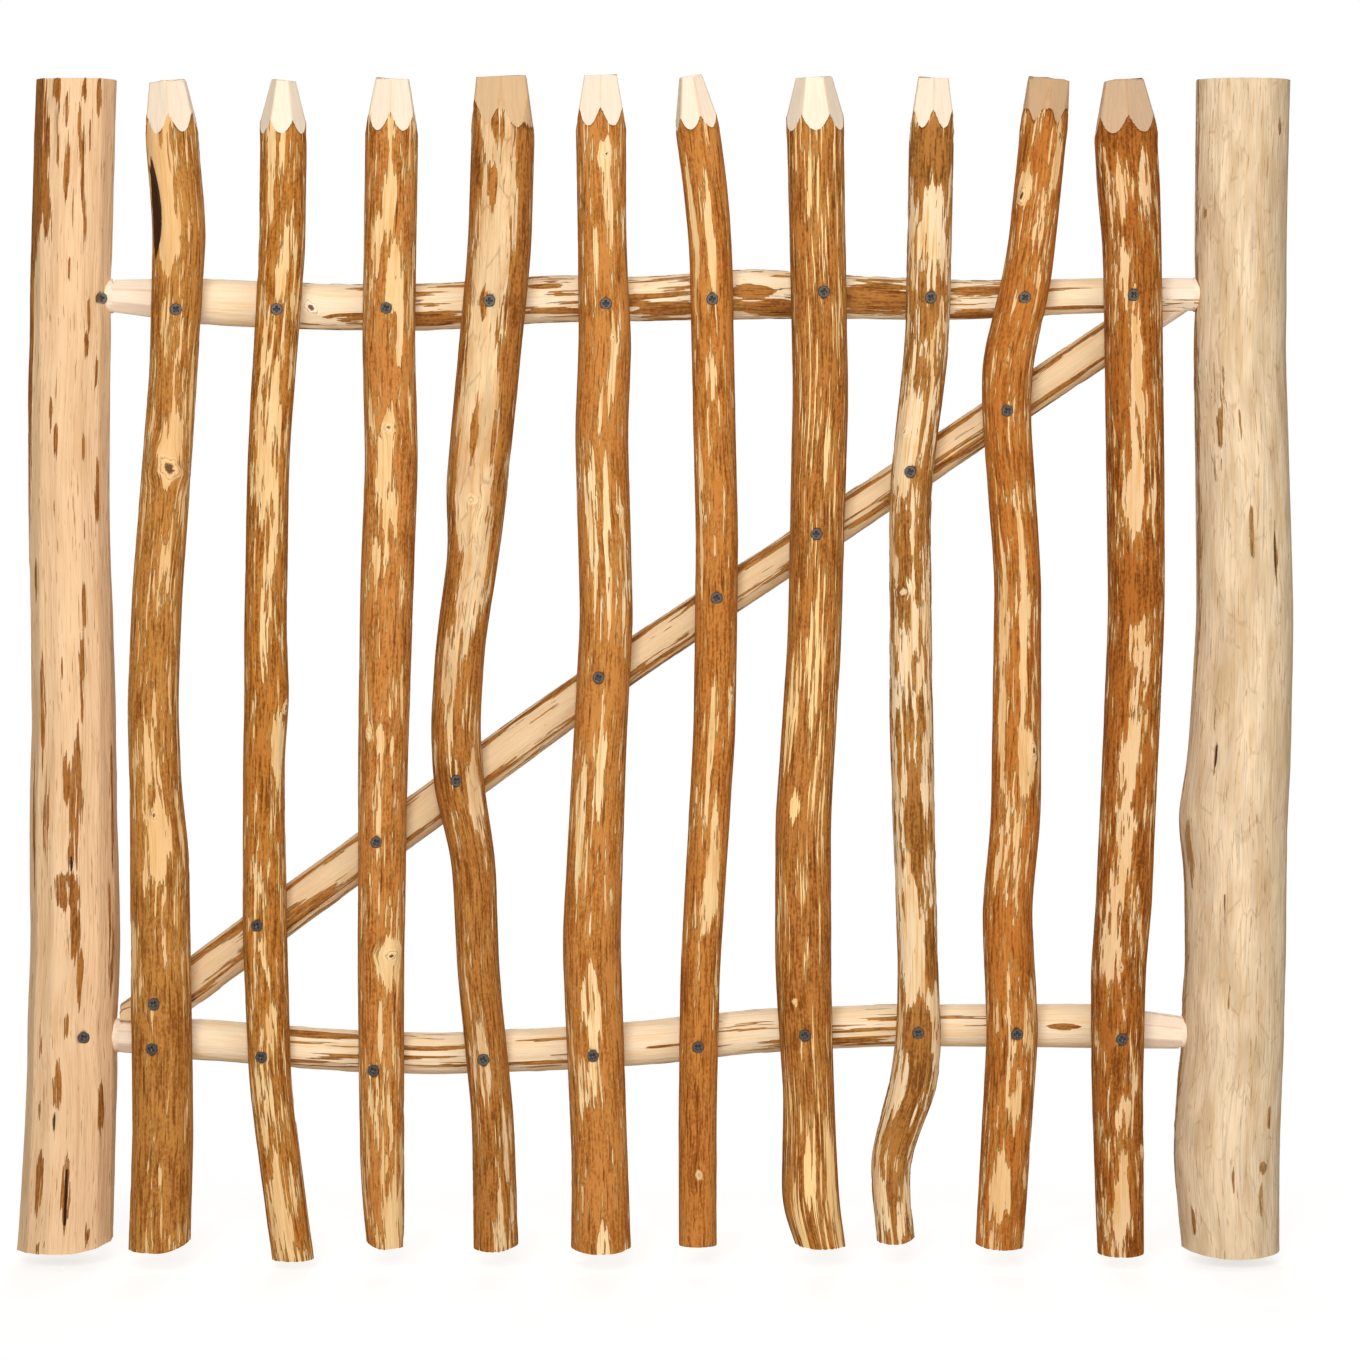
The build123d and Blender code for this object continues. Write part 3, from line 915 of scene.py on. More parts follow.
    def mesh(self, trace: Trace, fields: dict[str, np.ndarray]) -> bpy.types.Object:
        """Make a closed mesh from the rings, with flat ends.

        Args:
            trace: The traced stick.
            fields: What to store at each point.

        Returns:
            An object that holds the mesh.
        """
        rows, sides = trace.rings.shape[:2]
        points = [trace.rings.reshape(-1, 3)]
        stored = {name: [value.reshape(rows * sides, -1)] for name, value in fields.items()}
        stored["ring"] = [np.zeros((rows * sides, 1))]
        stored["cap"] = [np.zeros((rows * sides, 1))]
        low, k = np.meshgrid(np.arange(rows - 1) * sides, np.arange(sides), indexing="ij")
        high, after = low + sides, (k + 1) % sides
        faces = np.stack([low + k, low + after, high + after, high + k], axis=2).reshape(-1, 4).tolist()
        capped = [False] * len(faces)
        count = rows * sides
        for row, order in ((0, -1), (rows - 1, 1)):
            outer = trace.rings[row]
            centre = outer.mean(axis=0)
            radii = np.linalg.norm(outer - centre, axis=1)[:, None] / MM
            stored["ring"][0][row * sides : row * sides + sides] = radii
            rim = row * sides
            for share in self.END_RINGS:
                points.append(centre + (outer - centre) * share)
                stored["ring"].append(radii * share)
                for k in range(sides):
                    n = (k + 1) % sides
                    faces.append([rim + k, rim + n, count + n, count + k][::order])
                rim, count = count, count + sides
            points.append(centre[None, :])
            stored["ring"].append(np.zeros((1, 1)))
            for k in range(sides):
                faces.append([rim + k, rim + (k + 1) % sides, count][::order])
            count += 1
            capped += [True] * (len(faces) - len(capped))
            stored["cap"].append(np.ones((len(self.END_RINGS) * sides + 1, 1)))
            for name, value in fields.items():
                last = value[row].reshape(sides, -1)
                stored[name] += [last] * len(self.END_RINGS) + [last.mean(axis=0, keepdims=True)]
        mesh = bpy.data.meshes.new(self.node + "_hazel")
        mesh.from_pydata(np.concatenate(points).tolist(), [], faces)
        for name, values in stored.items():
            flat = np.concatenate(values)
            kind, key = ("FLOAT_VECTOR", "vector") if flat.shape[1] == 3 else ("FLOAT", "value")
            mesh.attributes.new(name, kind, "POINT").data.foreach_set(key, flat.ravel())
        mesh.polygons.foreach_set("use_smooth", [True] * len(faces))
        mesh.attributes.new("end_face", "BOOLEAN", "FACE").data.foreach_set("value", capped)
        last_row = (rows - 1) * sides
        rims = [
            all(v < sides for v in e.vertices) or all(last_row <= v < last_row + sides for v in e.vertices)
            for e in mesh.edges
        ]
        mesh.attributes.new("sharp_edge", "BOOLEAN", "EDGE").data.foreach_set("value", rims)
        mesh.update()
        piece = bpy.data.objects.new(self.node + "_hazel", mesh)
        bpy.context.scene.collection.objects.link(piece)
        return piece


def new_tree(name: str, inputs: dict[str, str]) -> Nodes:
    """Start a geometry tree with named inputs and a geometry output.

    Args:
        name: The tree's name.
        inputs: The kind of each input's socket, by name.

    Returns:
        The empty tree.
    """
    tree = bpy.data.node_groups.new(name, "GeometryNodeTree")
    for label, kind in inputs.items():
        tree.interface.new_socket(label, in_out="INPUT", socket_type="NodeSocket" + kind)
    tree.interface.new_socket("Geometry", in_out="OUTPUT", socket_type="NodeSocketGeometry")
    return Nodes(tree)


def apply_tree(piece: bpy.types.Object, tree: bpy.types.NodeTree, values: dict[str, object]) -> None:
    """Run a geometry tree on an object and keep the result as a plain mesh.

    Args:
        piece: The object.
        tree: The geometry tree.
        values: The tree's inputs, by name.
    """
    modifier = piece.modifiers.new(tree.name, "NODES")
    modifier.node_group = tree
    for item in tree.interface.items_tree:
        if item.item_type == "SOCKET" and item.in_out == "INPUT" and item.name in values:
            modifier[item.identifier] = values[item.name]
    depsgraph = bpy.context.evaluated_depsgraph_get()
    made = bpy.data.meshes.new_from_object(
        piece.evaluated_get(depsgraph), preserve_all_data_layers=True, depsgraph=depsgraph
    )
    before = piece.data
    name = before.name
    piece.modifiers.clear()
    piece.data = made
    bpy.data.meshes.remove(before)
    made.name = name


# The bark's roughness: its width and length in millimetres, and how many finer layers it has
BARK_ROUGHNESS = (3.0, 30.0, 3.0)


def relief_tree() -> bpy.types.NodeTree:
    """Build the geometry tree that raises a stick's bark along its streaks.

    Returns:
        The tree, with named inputs for the streaks, the depth and the finishes.
    """
    sizes = dict.fromkeys(("Streak Width", "Streak Length", "Bare Level", "Depth"), "Float")
    finishes = dict.fromkeys(("Skin", "Sawn End"), "Material")
    nodes = new_tree("bark_relief", {"Geometry": "Geometry", **sizes, **finishes})
    add = nodes.add
    given = add("NodeGroupInput").node.outputs
    grain = add(STORED, {"Name": "grain"}, out="Attribute", data_type="FLOAT_VECTOR")
    bias, cut, cap = (
        add(STORED, {"Name": name}, out="Attribute", data_type="FLOAT") for name in ("bias", "cut", "cap")
    )
    torn = nodes.bareness(grain, bias, given["Streak Width"], given["Streak Length"])
    low = add(MATH, (given["Bare Level"], 0.04), operation="SUBTRACT")
    high = add(MATH, (given["Bare Level"], 0.04), operation="ADD")
    bark = add(RANGE, (torn, low, high, 1.0, 0.0), **SMOOTH)
    uncut = add(RANGE, (cut, 0.2, 0.8, 1.0, 0.0), **SMOOTH)
    skin_only = add(MATH, (1.0, cap), operation="SUBTRACT")
    skin_only = add(MATH, (uncut, skin_only), operation="MULTIPLY")
    roughness = add(MATH, (nodes.along_grain(grain, *BARK_ROUGHNESS), 0.5), operation="SUBTRACT")
    rise = add(MATH, (bark, 0.7), operation="SUBTRACT")
    rise = add(MATH, (roughness, 1.6, rise), operation="MULTIPLY_ADD")
    rise = add(MATH, (rise, skin_only), operation="MULTIPLY")
    rise = add(MATH, (rise, given["Depth"]), operation="MULTIPLY")
    offset = add(VECTORS, {0: add("GeometryNodeInputNormal"), "Scale": rise}, operation="SCALE")
    moved = add("GeometryNodeSetPosition", {"Geometry": given["Geometry"], "Offset": offset})
    real = add("GeometryNodeRealizeInstances", (moved,))
    skinned = add("GeometryNodeSetMaterial", {"Geometry": real, "Material": given["Skin"]})
    ends = add(STORED, {"Name": "end_face"}, out="Attribute", data_type="BOOLEAN")
    sawn = {"Geometry": skinned, "Selection": ends, "Material": given["Sawn End"]}
    add("NodeGroupOutput", (add("GeometryNodeSetMaterial", sawn),))
    return nodes.tree


@dataclass(frozen=True)
class ScrewSpot:
    """Where one screw sits: which stick it is in, what it holds, and how far off the crossing in mm."""

    stick: str
    onto: str
    across: float = 0.0
    up: float = 0.0


@dataclass
class Screws:
    """The countersunk, cross-recessed wood screws that fasten the gate. Sizes are in millimetres."""

    spots: list[ScrewSpot]
    diameter: float = 9.2
    proud: float = 2.3
    dish: float = 0.5
    recess: float = 2.2
    arm: float = 1.7
    reach: float = 5.4
    neck: float = 0.45
    neck_depth: float = 3.4
    seed: int = 11

    # Points round a head, and the radii of its rings inside the bevelled rim
    AROUND = 40
    RINGS = (0.4, 0.75, 1.1, 1.5, 1.9, 2.3, 2.7, 3.2)
    BEVEL = 0.5
    # How far a screw is turned from straight ahead to the stick's own surface
    LEAN = 0.4
    # Slices that a middle line is taken from, and steps that close in on a crossing
    SLICES = 60
    STEPS = 12

    def head(self) -> bpy.types.Object:
        """Make one screw head, facing +Z, with its cross recess and the start of its neck.

        Returns:
            A small object to place copies of.
        """
        radius, around = self.diameter / 2, self.AROUND
        turns = [2 * math.pi * k / around for k in range(around)]
        rings = (*self.RINGS, radius - self.BEVEL, radius)
        points, faces = [(0.0, 0.0, -self.recess * MM)], []
        for ring in rings:
            for turn in turns:
                x, y = ring * math.cos(turn), ring * math.sin(turn)
                in_cross = min(abs(x), abs(y)) < self.arm / 2 and ring < self.reach / 2
                height = -self.recess * (1 - ring / self.reach) if in_cross else 0.0
                drop = -self.dish if ring == radius else 0.0
                points.append((x * MM, y * MM, (height + drop) * MM))
        for turn in turns:
            x, y = radius * self.neck * math.cos(turn), radius * self.neck * math.sin(turn)
            points.append((x * MM, y * MM, -self.neck_depth * MM))
        for k in range(around):
            after = (k + 1) % around
            faces.append((0, 1 + k, 1 + after))
            for row in range(len(rings)):
                low, high = 1 + row * around, 1 + (row + 1) * around
                faces.append((low + k, high + k, high + after, low + after))
        last = 1 + len(rings) * around
        faces.append(tuple(last + k for k in reversed(range(around))))
        mesh = bpy.data.meshes.new("screw_head")
        mesh.from_pydata(points, [], faces)
        mesh.update()
        return bpy.data.objects.new("screw_head", mesh)

    def tree(self) -> bpy.types.NodeTree:
        """Build the geometry tree that sets a head on every point.

        Returns:
            The tree, with named inputs for the head and its finish.
        """
        nodes = new_tree("screw_setting", {"Geometry": "Geometry", "Head": "Object", "Steel": "Material"})
        add = nodes.add
        given = add("NodeGroupInput").node.outputs
        head = add("GeometryNodeObjectInfo", {"Object": given["Head"]}, out="Geometry")
        turn = add(STORED, {"Name": "turn"}, out="Attribute", data_type="FLOAT")
        facing = add(STORED, {"Name": "facing"}, out="Attribute", data_type="FLOAT_VECTOR")
        spin = add("ShaderNodeCombineXYZ", {2: turn})
        aimed = add("FunctionNodeAlignRotationToVector", {"Vector": facing}, axis="Z")
        inputs = {"Rotation": aimed, "Rotate By": spin}
        turned = add("FunctionNodeRotateRotation", inputs, rotation_space="LOCAL")
        inputs = {"Points": given["Geometry"], "Instance": head, "Rotation": turned}
        real = add("GeometryNodeRealizeInstances", (add("GeometryNodeInstanceOnPoints", inputs),))
        steel = add("GeometryNodeSetMaterial", {"Geometry": real, "Material": given["Steel"]})
        add("NodeGroupOutput", (steel,))
        return nodes.tree

    def bores(self, frame: dict, name: str) -> list[Mark]:
        """Mark the pits that one stick's screws are driven into.

        Args:
            name: The stick's node name.

        Returns:
            A mark for each of its screws.
        """
        pits = []
        for spot in self.spots:
            if spot.stick == name:
                height = self.crossing(frame, spot)[1] / MM + spot.up
                pits.append(Mark(MarkKind.BORE, height, spot.across, self.diameter, self.diameter))
        return pits

    def build(self, frame: dict, sticks: dict[str, bpy.types.Object]) -> bpy.types.Object:
        """Set a screw at every spot.

        Args:
            sticks: The finished sticks by node name.

        Returns:
            One object with all the screws.
        """
        chance = np.random.default_rng(self.seed)
        places, facings = [], []
        for spot in self.spots:
            x, z = self.crossing(frame, spot)
            place, facing = self.surface(sticks[spot.stick], x + spot.across * MM, z + spot.up * MM)
            places.append(place + facing * self.proud * MM)
            facings.append(facing)
        mesh = bpy.data.meshes.new("gate_screws")
        mesh.from_pydata([p[:] for p in places], [], [])
        facing = mesh.attributes.new("facing", "FLOAT_VECTOR", "POINT")
        facing.data.foreach_set("vector", np.array([f[:] for f in facings]).ravel())
        turn = mesh.attributes.new("turn", "FLOAT", "POINT")
        turn.data.foreach_set("value", chance.uniform(0, math.pi / 2, len(places)))
        piece = bpy.data.objects.new("gate_screws", mesh)
        bpy.context.scene.collection.objects.link(piece)
        head = self.head()
        apply_tree(piece, self.tree(), {"Head": head, "Steel": ScrewSteel().build()})
        bpy.data.objects.remove(head)
        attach(piece, "root")
        LOG.info("%s: %d screws", piece.name, len(places))
        return piece

    @classmethod
    def crossing(cls, frame: dict, spot: ScrewSpot) -> tuple[float, float]:
        """Find where a stick passes what it is screwed to, as seen from the front.

        Args:
            spot: The screw's spot.

        Returns:
            The x and z of the crossing, in metres.
        """
        heights, xs = cls.middle_line(frame["nodes"][spot.stick].data, 2)
        places, zs = cls.middle_line(frame["nodes"][spot.onto].data, 0)
        x = float(xs.mean())
        for _ in range(cls.STEPS):
            z = float(np.interp(x, places, zs))
            x = float(np.interp(z, heights, xs))
        return x, z

    @classmethod
    def middle_line(cls, mesh: bpy.types.Mesh, axis: int) -> tuple[np.ndarray, np.ndarray]:
        """Find a stick's middle line, as seen from the front.

        Args:
            mesh: The CAD mesh.
            axis: The axis that the stick runs along: 0 for x, 2 for z.

        Returns:
            Places along that axis, and the middle across it at each.
        """
        points = np.array([v.co for v in mesh.vertices])
        edges = np.array([e.vertices[:] for e in mesh.edges])
        start, end = points[edges[:, 0]], points[edges[:, 1]]
        places = np.linspace(points[:, axis].min(), points[:, axis].max(), cls.SLICES)
        other = 0 if axis == 2 else 2
        middles = []
        for place in np.clip(places, places[0] + 1e-5, places[-1] - 1e-5):
            crossing = (start[:, axis] - place) * (end[:, axis] - place) < 0
            first, last = start[crossing], end[crossing]
            share = (place - first[:, axis]) / (last[:, axis] - first[:, axis])
            across = first[:, other] + share * (last[:, other] - first[:, other])
            middles.append((across.min() + across.max()) / 2)
        return places, np.array(middles)

    @classmethod
    def surface(cls, stick: bpy.types.Object, x: float, z: float) -> tuple[Vector, Vector]:
        """Find a stick's front surface.

        Args:
            stick: The finished stick.
            x: Where to look, across the gate.
            z: Where to look, up the gate.

        Returns:
            The point on the surface, and the way a screw there faces.
        """
        hit, place, normal, _ = stick.ray_cast(Vector((x, -1.0, z)), Vector((0.0, 1.0, 0.0)))
        if not hit:
            raise ValueError(f"no surface for a screw on {stick.name}")
        return place, (normal * cls.LEAN + Vector(FRONT) * (1 - cls.LEAN)).normalized()


@dataclass
class Studio:
    """The white studio: floor, soft lights and the camera that took the photo.

    The camera's numbers are in millimetres and degrees, the lights' in metres and watts.
    """

    floor_level: float = -7.0
    distance: float = 3900.0
    rise: float = 3.3
    lens: float = 131.3
    sensor: float = 36.0
    aim: tuple[float, float] = (485.6, 454.8)
    room_light: float = 0.22

    # Each light's name, place, side and power
    LIGHTS = (
        ("key_softbox", (0.1, -3.8, 1.8), 1.6, 124.0),
        ("fill_softbox", (2.2, -3.2, 1.0), 1.8, 24.0),
        ("top_softbox", (0.5, 0.4, 3.2), 2.0, 14.0),
        ("back_softbox", (0.5, 3.8, 1.6), 2.0, 80.0),
    )

    def build(self) -> None:
        """Build the floor, the surroundings, the lights and the camera."""
        self.floor()
        self.surroundings()
        for light in self.LIGHTS:
            self.light(*light)
        self.camera()

    def floor(self) -> None:
        """Lay a plain floor under the gate."""
        z = self.floor_level * MM
        corners = [(-4.0, -5.0, z), (5.0, -5.0, z), (5.0, 4.0, z), (-4.0, 4.0, z)]
        mesh = bpy.data.meshes.new("studio_floor")
        mesh.from_pydata(corners, [], [(0, 1, 2, 3)])
        mesh.materials.append(StudioWhite().build())
        floor = bpy.data.objects.new("studio_floor", mesh)
        bpy.context.scene.collection.objects.link(floor)

    def surroundings(self) -> None:
        """Fill the room with soft light, white to the eye."""
        world = bpy.data.worlds.new("studio_white")
        bpy.context.scene.world = world
        world.use_nodes = True
        nodes = Nodes(world.node_tree)
        strength = nodes.add(RANGE, (nodes.looked_at(), 0.0, 1.0, self.room_light, 1.0), **SMOOTH)
        background = nodes.add("ShaderNodeBackground", {"Color": WHITE, "Strength": strength})
        nodes.add("ShaderNodeOutputWorld", {"Surface": background})

    def light(self, name: str, place: tuple[float, float, float], size: float, power: float) -> None:
        """Hang one soft light that faces the middle of the gate.

        Args:
            name: The light's name.
            place: Where it hangs, in metres.
            size: The side of its square, in metres.
            power: Its power in watts.
        """
        lamp = bpy.data.lights.new(name, "AREA")
        lamp.size = size
        lamp.energy = power
        holder = bpy.data.objects.new(name, lamp)
        holder.visible_camera = False
        holder.location = place
        target = Vector((self.aim[0] * MM, 0.0, self.aim[1] * MM))
        holder.rotation_euler = (target - Vector(place)).to_track_quat("-Z", "Y").to_euler()
        bpy.context.scene.collection.objects.link(holder)

    def camera(self) -> None:
        """Stand the camera where the photo was taken from."""
        eye = bpy.data.cameras.new("photo_camera")
        eye.lens = self.lens
        eye.sensor_width = self.sensor
        holder = bpy.data.objects.new("photo_camera", eye)
        rise = math.radians(self.rise)
        target = Vector((self.aim[0], 0.0, self.aim[1])) * MM
        back = Vector((0.0, -math.cos(rise), math.sin(rise))) * self.distance * MM
        holder.location = target + back
        holder.rotation_euler = (-back).to_track_quat("-Z", "Y").to_euler()
        bpy.context.scene.collection.objects.link(holder)
        bpy.context.scene.camera = holder
        bpy.context.scene.view_settings.view_transform = "Standard"


# Marks by their place, side, width, length and strength, as read off the photo
bare = partial(Mark, MarkKind.BARE)
bark = partial(Mark, MarkKind.BARK)
knot = partial(Mark, MarkKind.KNOT)
split = partial(Mark, MarkKind.SPLIT)

LEFT_POST_MARKS = [
    bark(870, -28, 30, 220, 1.45), bark(842, -22, 6.8, 60, 1.2), bark(690, -31, 20, 320, 1.2),
    bark(890, -10, 2.5, 70, 1.12), bark(884, 6, 2.5, 60, 1.12), bark(832, 3, 2.5, 60, 1.12),
    bark(806, 12, 2.5, 60, 1.12), bark(917, -12, 6.8, 24, 1.38), bark(880, -18, 3.4, 40, 1.29),
    bark(900, -4, 6, 30, 1.38), bark(858, -2.5, 6, 70, 1.38), bark(915, 10, 4.2, 24, 1.38),
    bark(858, 9.5, 3.4, 84, 1.38), bark(910, 20, 5.1, 36, 1.38), bark(880, 14.5, 3.4, 26, 1.2),
    bark(822, -17, 6.8, 48, 1.29), bark(776, 2, 2.5, 20, 1.2), bark(742, 17, 3.4, 30, 1.29),
    bark(718, 15.5, 4.2, 26, 1.38), bark(695, 23.5, 4.2, 32, 1.38), bark(665, -11.5, 3.4, 32, 1.2),
    bark(644, -7.5, 3.4, 38, 1.29), bark(637, 14, 2.5, 30, 1.12), bark(620, 24, 3.4, 28, 1.2),
    bark(596, 24.5, 5.1, 42, 1.38), bark(590, -9, 2.5, 26, 1.2), bark(572, 14, 2.5, 30, 1.2),
    bark(534, -25, 5.1, 38, 1.29), bark(516, 14, 6, 44, 1.46), bark(461, 11, 4.2, 84, 1.38),
    bark(468, -4.5, 3.4, 30, 1.2), bark(430, -21, 6, 104, 1.29), bark(345, -18, 7.6, 104, 1.29),
    bark(345, -30, 7.6, 112, 1.2), bark(380, -2, 5.1, 46, 1.38), bark(370, 6, 10.2, 112, 1.46),
    bark(350, 32, 5.1, 130, 1.2), bark(292, -5, 28, 30, 1.05), bark(266, 0, 13, 60, 0.6),
    bark(268, 4, 8.5, 74, 1.12), bark(220, 9, 6, 54, 1.38), bark(186, -1, 4.2, 28, 1.29),
    bark(250, 31, 7.6, 114, 1.2), bark(118, 26, 6.8, 52, 1.38), bark(138, -8, 6, 44, 1.46),
    bark(118, -22, 4.2, 26, 1.29), bark(172, -22, 4.2, 38, 1.2), bark(62, -20, 8.5, 60, 1.46),
    bark(58, 2, 7.6, 68, 1.46), bark(17, 19, 5.1, 28, 1.38), bark(5, -18, 5.1, 16, 1.29),
    bark(312, 2, 9, 40, 1.0), split(313, 2, 5, 12, 0.9), split(110, -10, 4, 22), split(50, 2, 4.5, 46),
]
RIGHT_POST_MARKS = [
    bark(653, -19, 3, 40, 2.2), bark(666, -3, 2.4, 120, 1.6), bark(886, 26, 5, 15, 2.2),
    bark(820, -30, 4, 12, 2.2), bark(572, 3, 5, 50, 2.0), bark(555, 22, 3.6, 60, 2.2),
    bark(395, -22, 4, 28, 2.2), bark(425, -24, 2.4, 44, 1.8), bark(320, -37, 10, 66, 1.7),
    bark(275, -12, 2.4, 34, 1.8), bark(210, -8, 2.4, 28, 1.9), bark(113, 29, 6, 24, 1.9),
    bark(74, 24, 9, 14, 2.0), bark(48, 22, 5, 36, 1.8), bark(30, -31, 6, 26, 1.9),
    bark(66, 0, 2.4, 24, 1.8), split(555, 22, 2.4, 46, 0.8), split(655, -19, 2.4, 30, 0.8),
    split(398, -22, 2.4, 18, 0.7), split(666, -3, 2.4, 120, 0.62), bark(720, -35, 14, 640, 1.5),
    bark(200, -40, 16, 400, 1.5), bark(660, -22, 30, 110, 0.8), bark(870, -24, 26, 120, 0.7),
]
TOP_RAIL_MARKS = [
    bare(130, 0, 60, 110, 2.0), bare(205, -4, 30, 80, 1.4), knot(198, 1, 15, 15),
    bark(227, 8, 9, 44, 1.6), bark(285, 11, 11, 76, 1.5), bark(390, 10, 5, 56, 1.5),
    bark(380, -10, 5, 34, 1.3), bark(460, -1, 4, 50, 1.2), bark(480, 10, 11, 56, 1.6),
    bark(541, -2, 10, 36, 2.0), bark(560, 12, 14, 50, 1.9), bark(640, 0, 30, 70, 0.9),
    bark(718, -6, 9, 54, 1.0), bark(718, 13, 9, 60, 1.6), bare(800, 0, 60, 110, 1.3),
    bark(800, 9, 5, 90, 1.5), bark(786, -5, 4, 60, 1.3), bare(340, -3, 22, 90, 0.6),
    bare(595, -6, 18, 40, 0.8),
]
BOTTOM_RAIL_MARKS = [
    bare(470, -2, 30, 70, 1.4), bark(478, 2, 3, 44, 1.8), bare(815, 0, 60, 110, 1.8),
    bark(787, -1, 6, 30, 2.2), bare(130, 0, 60, 60, 1.6), bark(190, -13, 6, 110, 1.0),
    bark(600, 12, 8, 160, 0.7), bark(640, -4, 30, 90, 0.4), bark(250, -6, 4, 190, 0.8),
    bark(330, 8, 4, 240, 0.8), bark(280, 1, 3, 150, 0.7), bark(420, 3, 3, 130, 0.6),
    bark(380, -9, 3, 150, 0.7), bark(560, 7, 4, 180, 0.6), bark(700, -8, 4, 200, 0.7),
]
BRACE_MARKS = [
    bare(560, -1, 20, 2400, 0.6), bark(640, 9, 6, 1500, 0.7), bark(560, -14, 6, 2400, 0.9),
    bark(280, 4, 8, 200, 0.9), bark(900, 2, 12, 260, 0.7), bark(760, 6, 6, 160, 0.6),
]
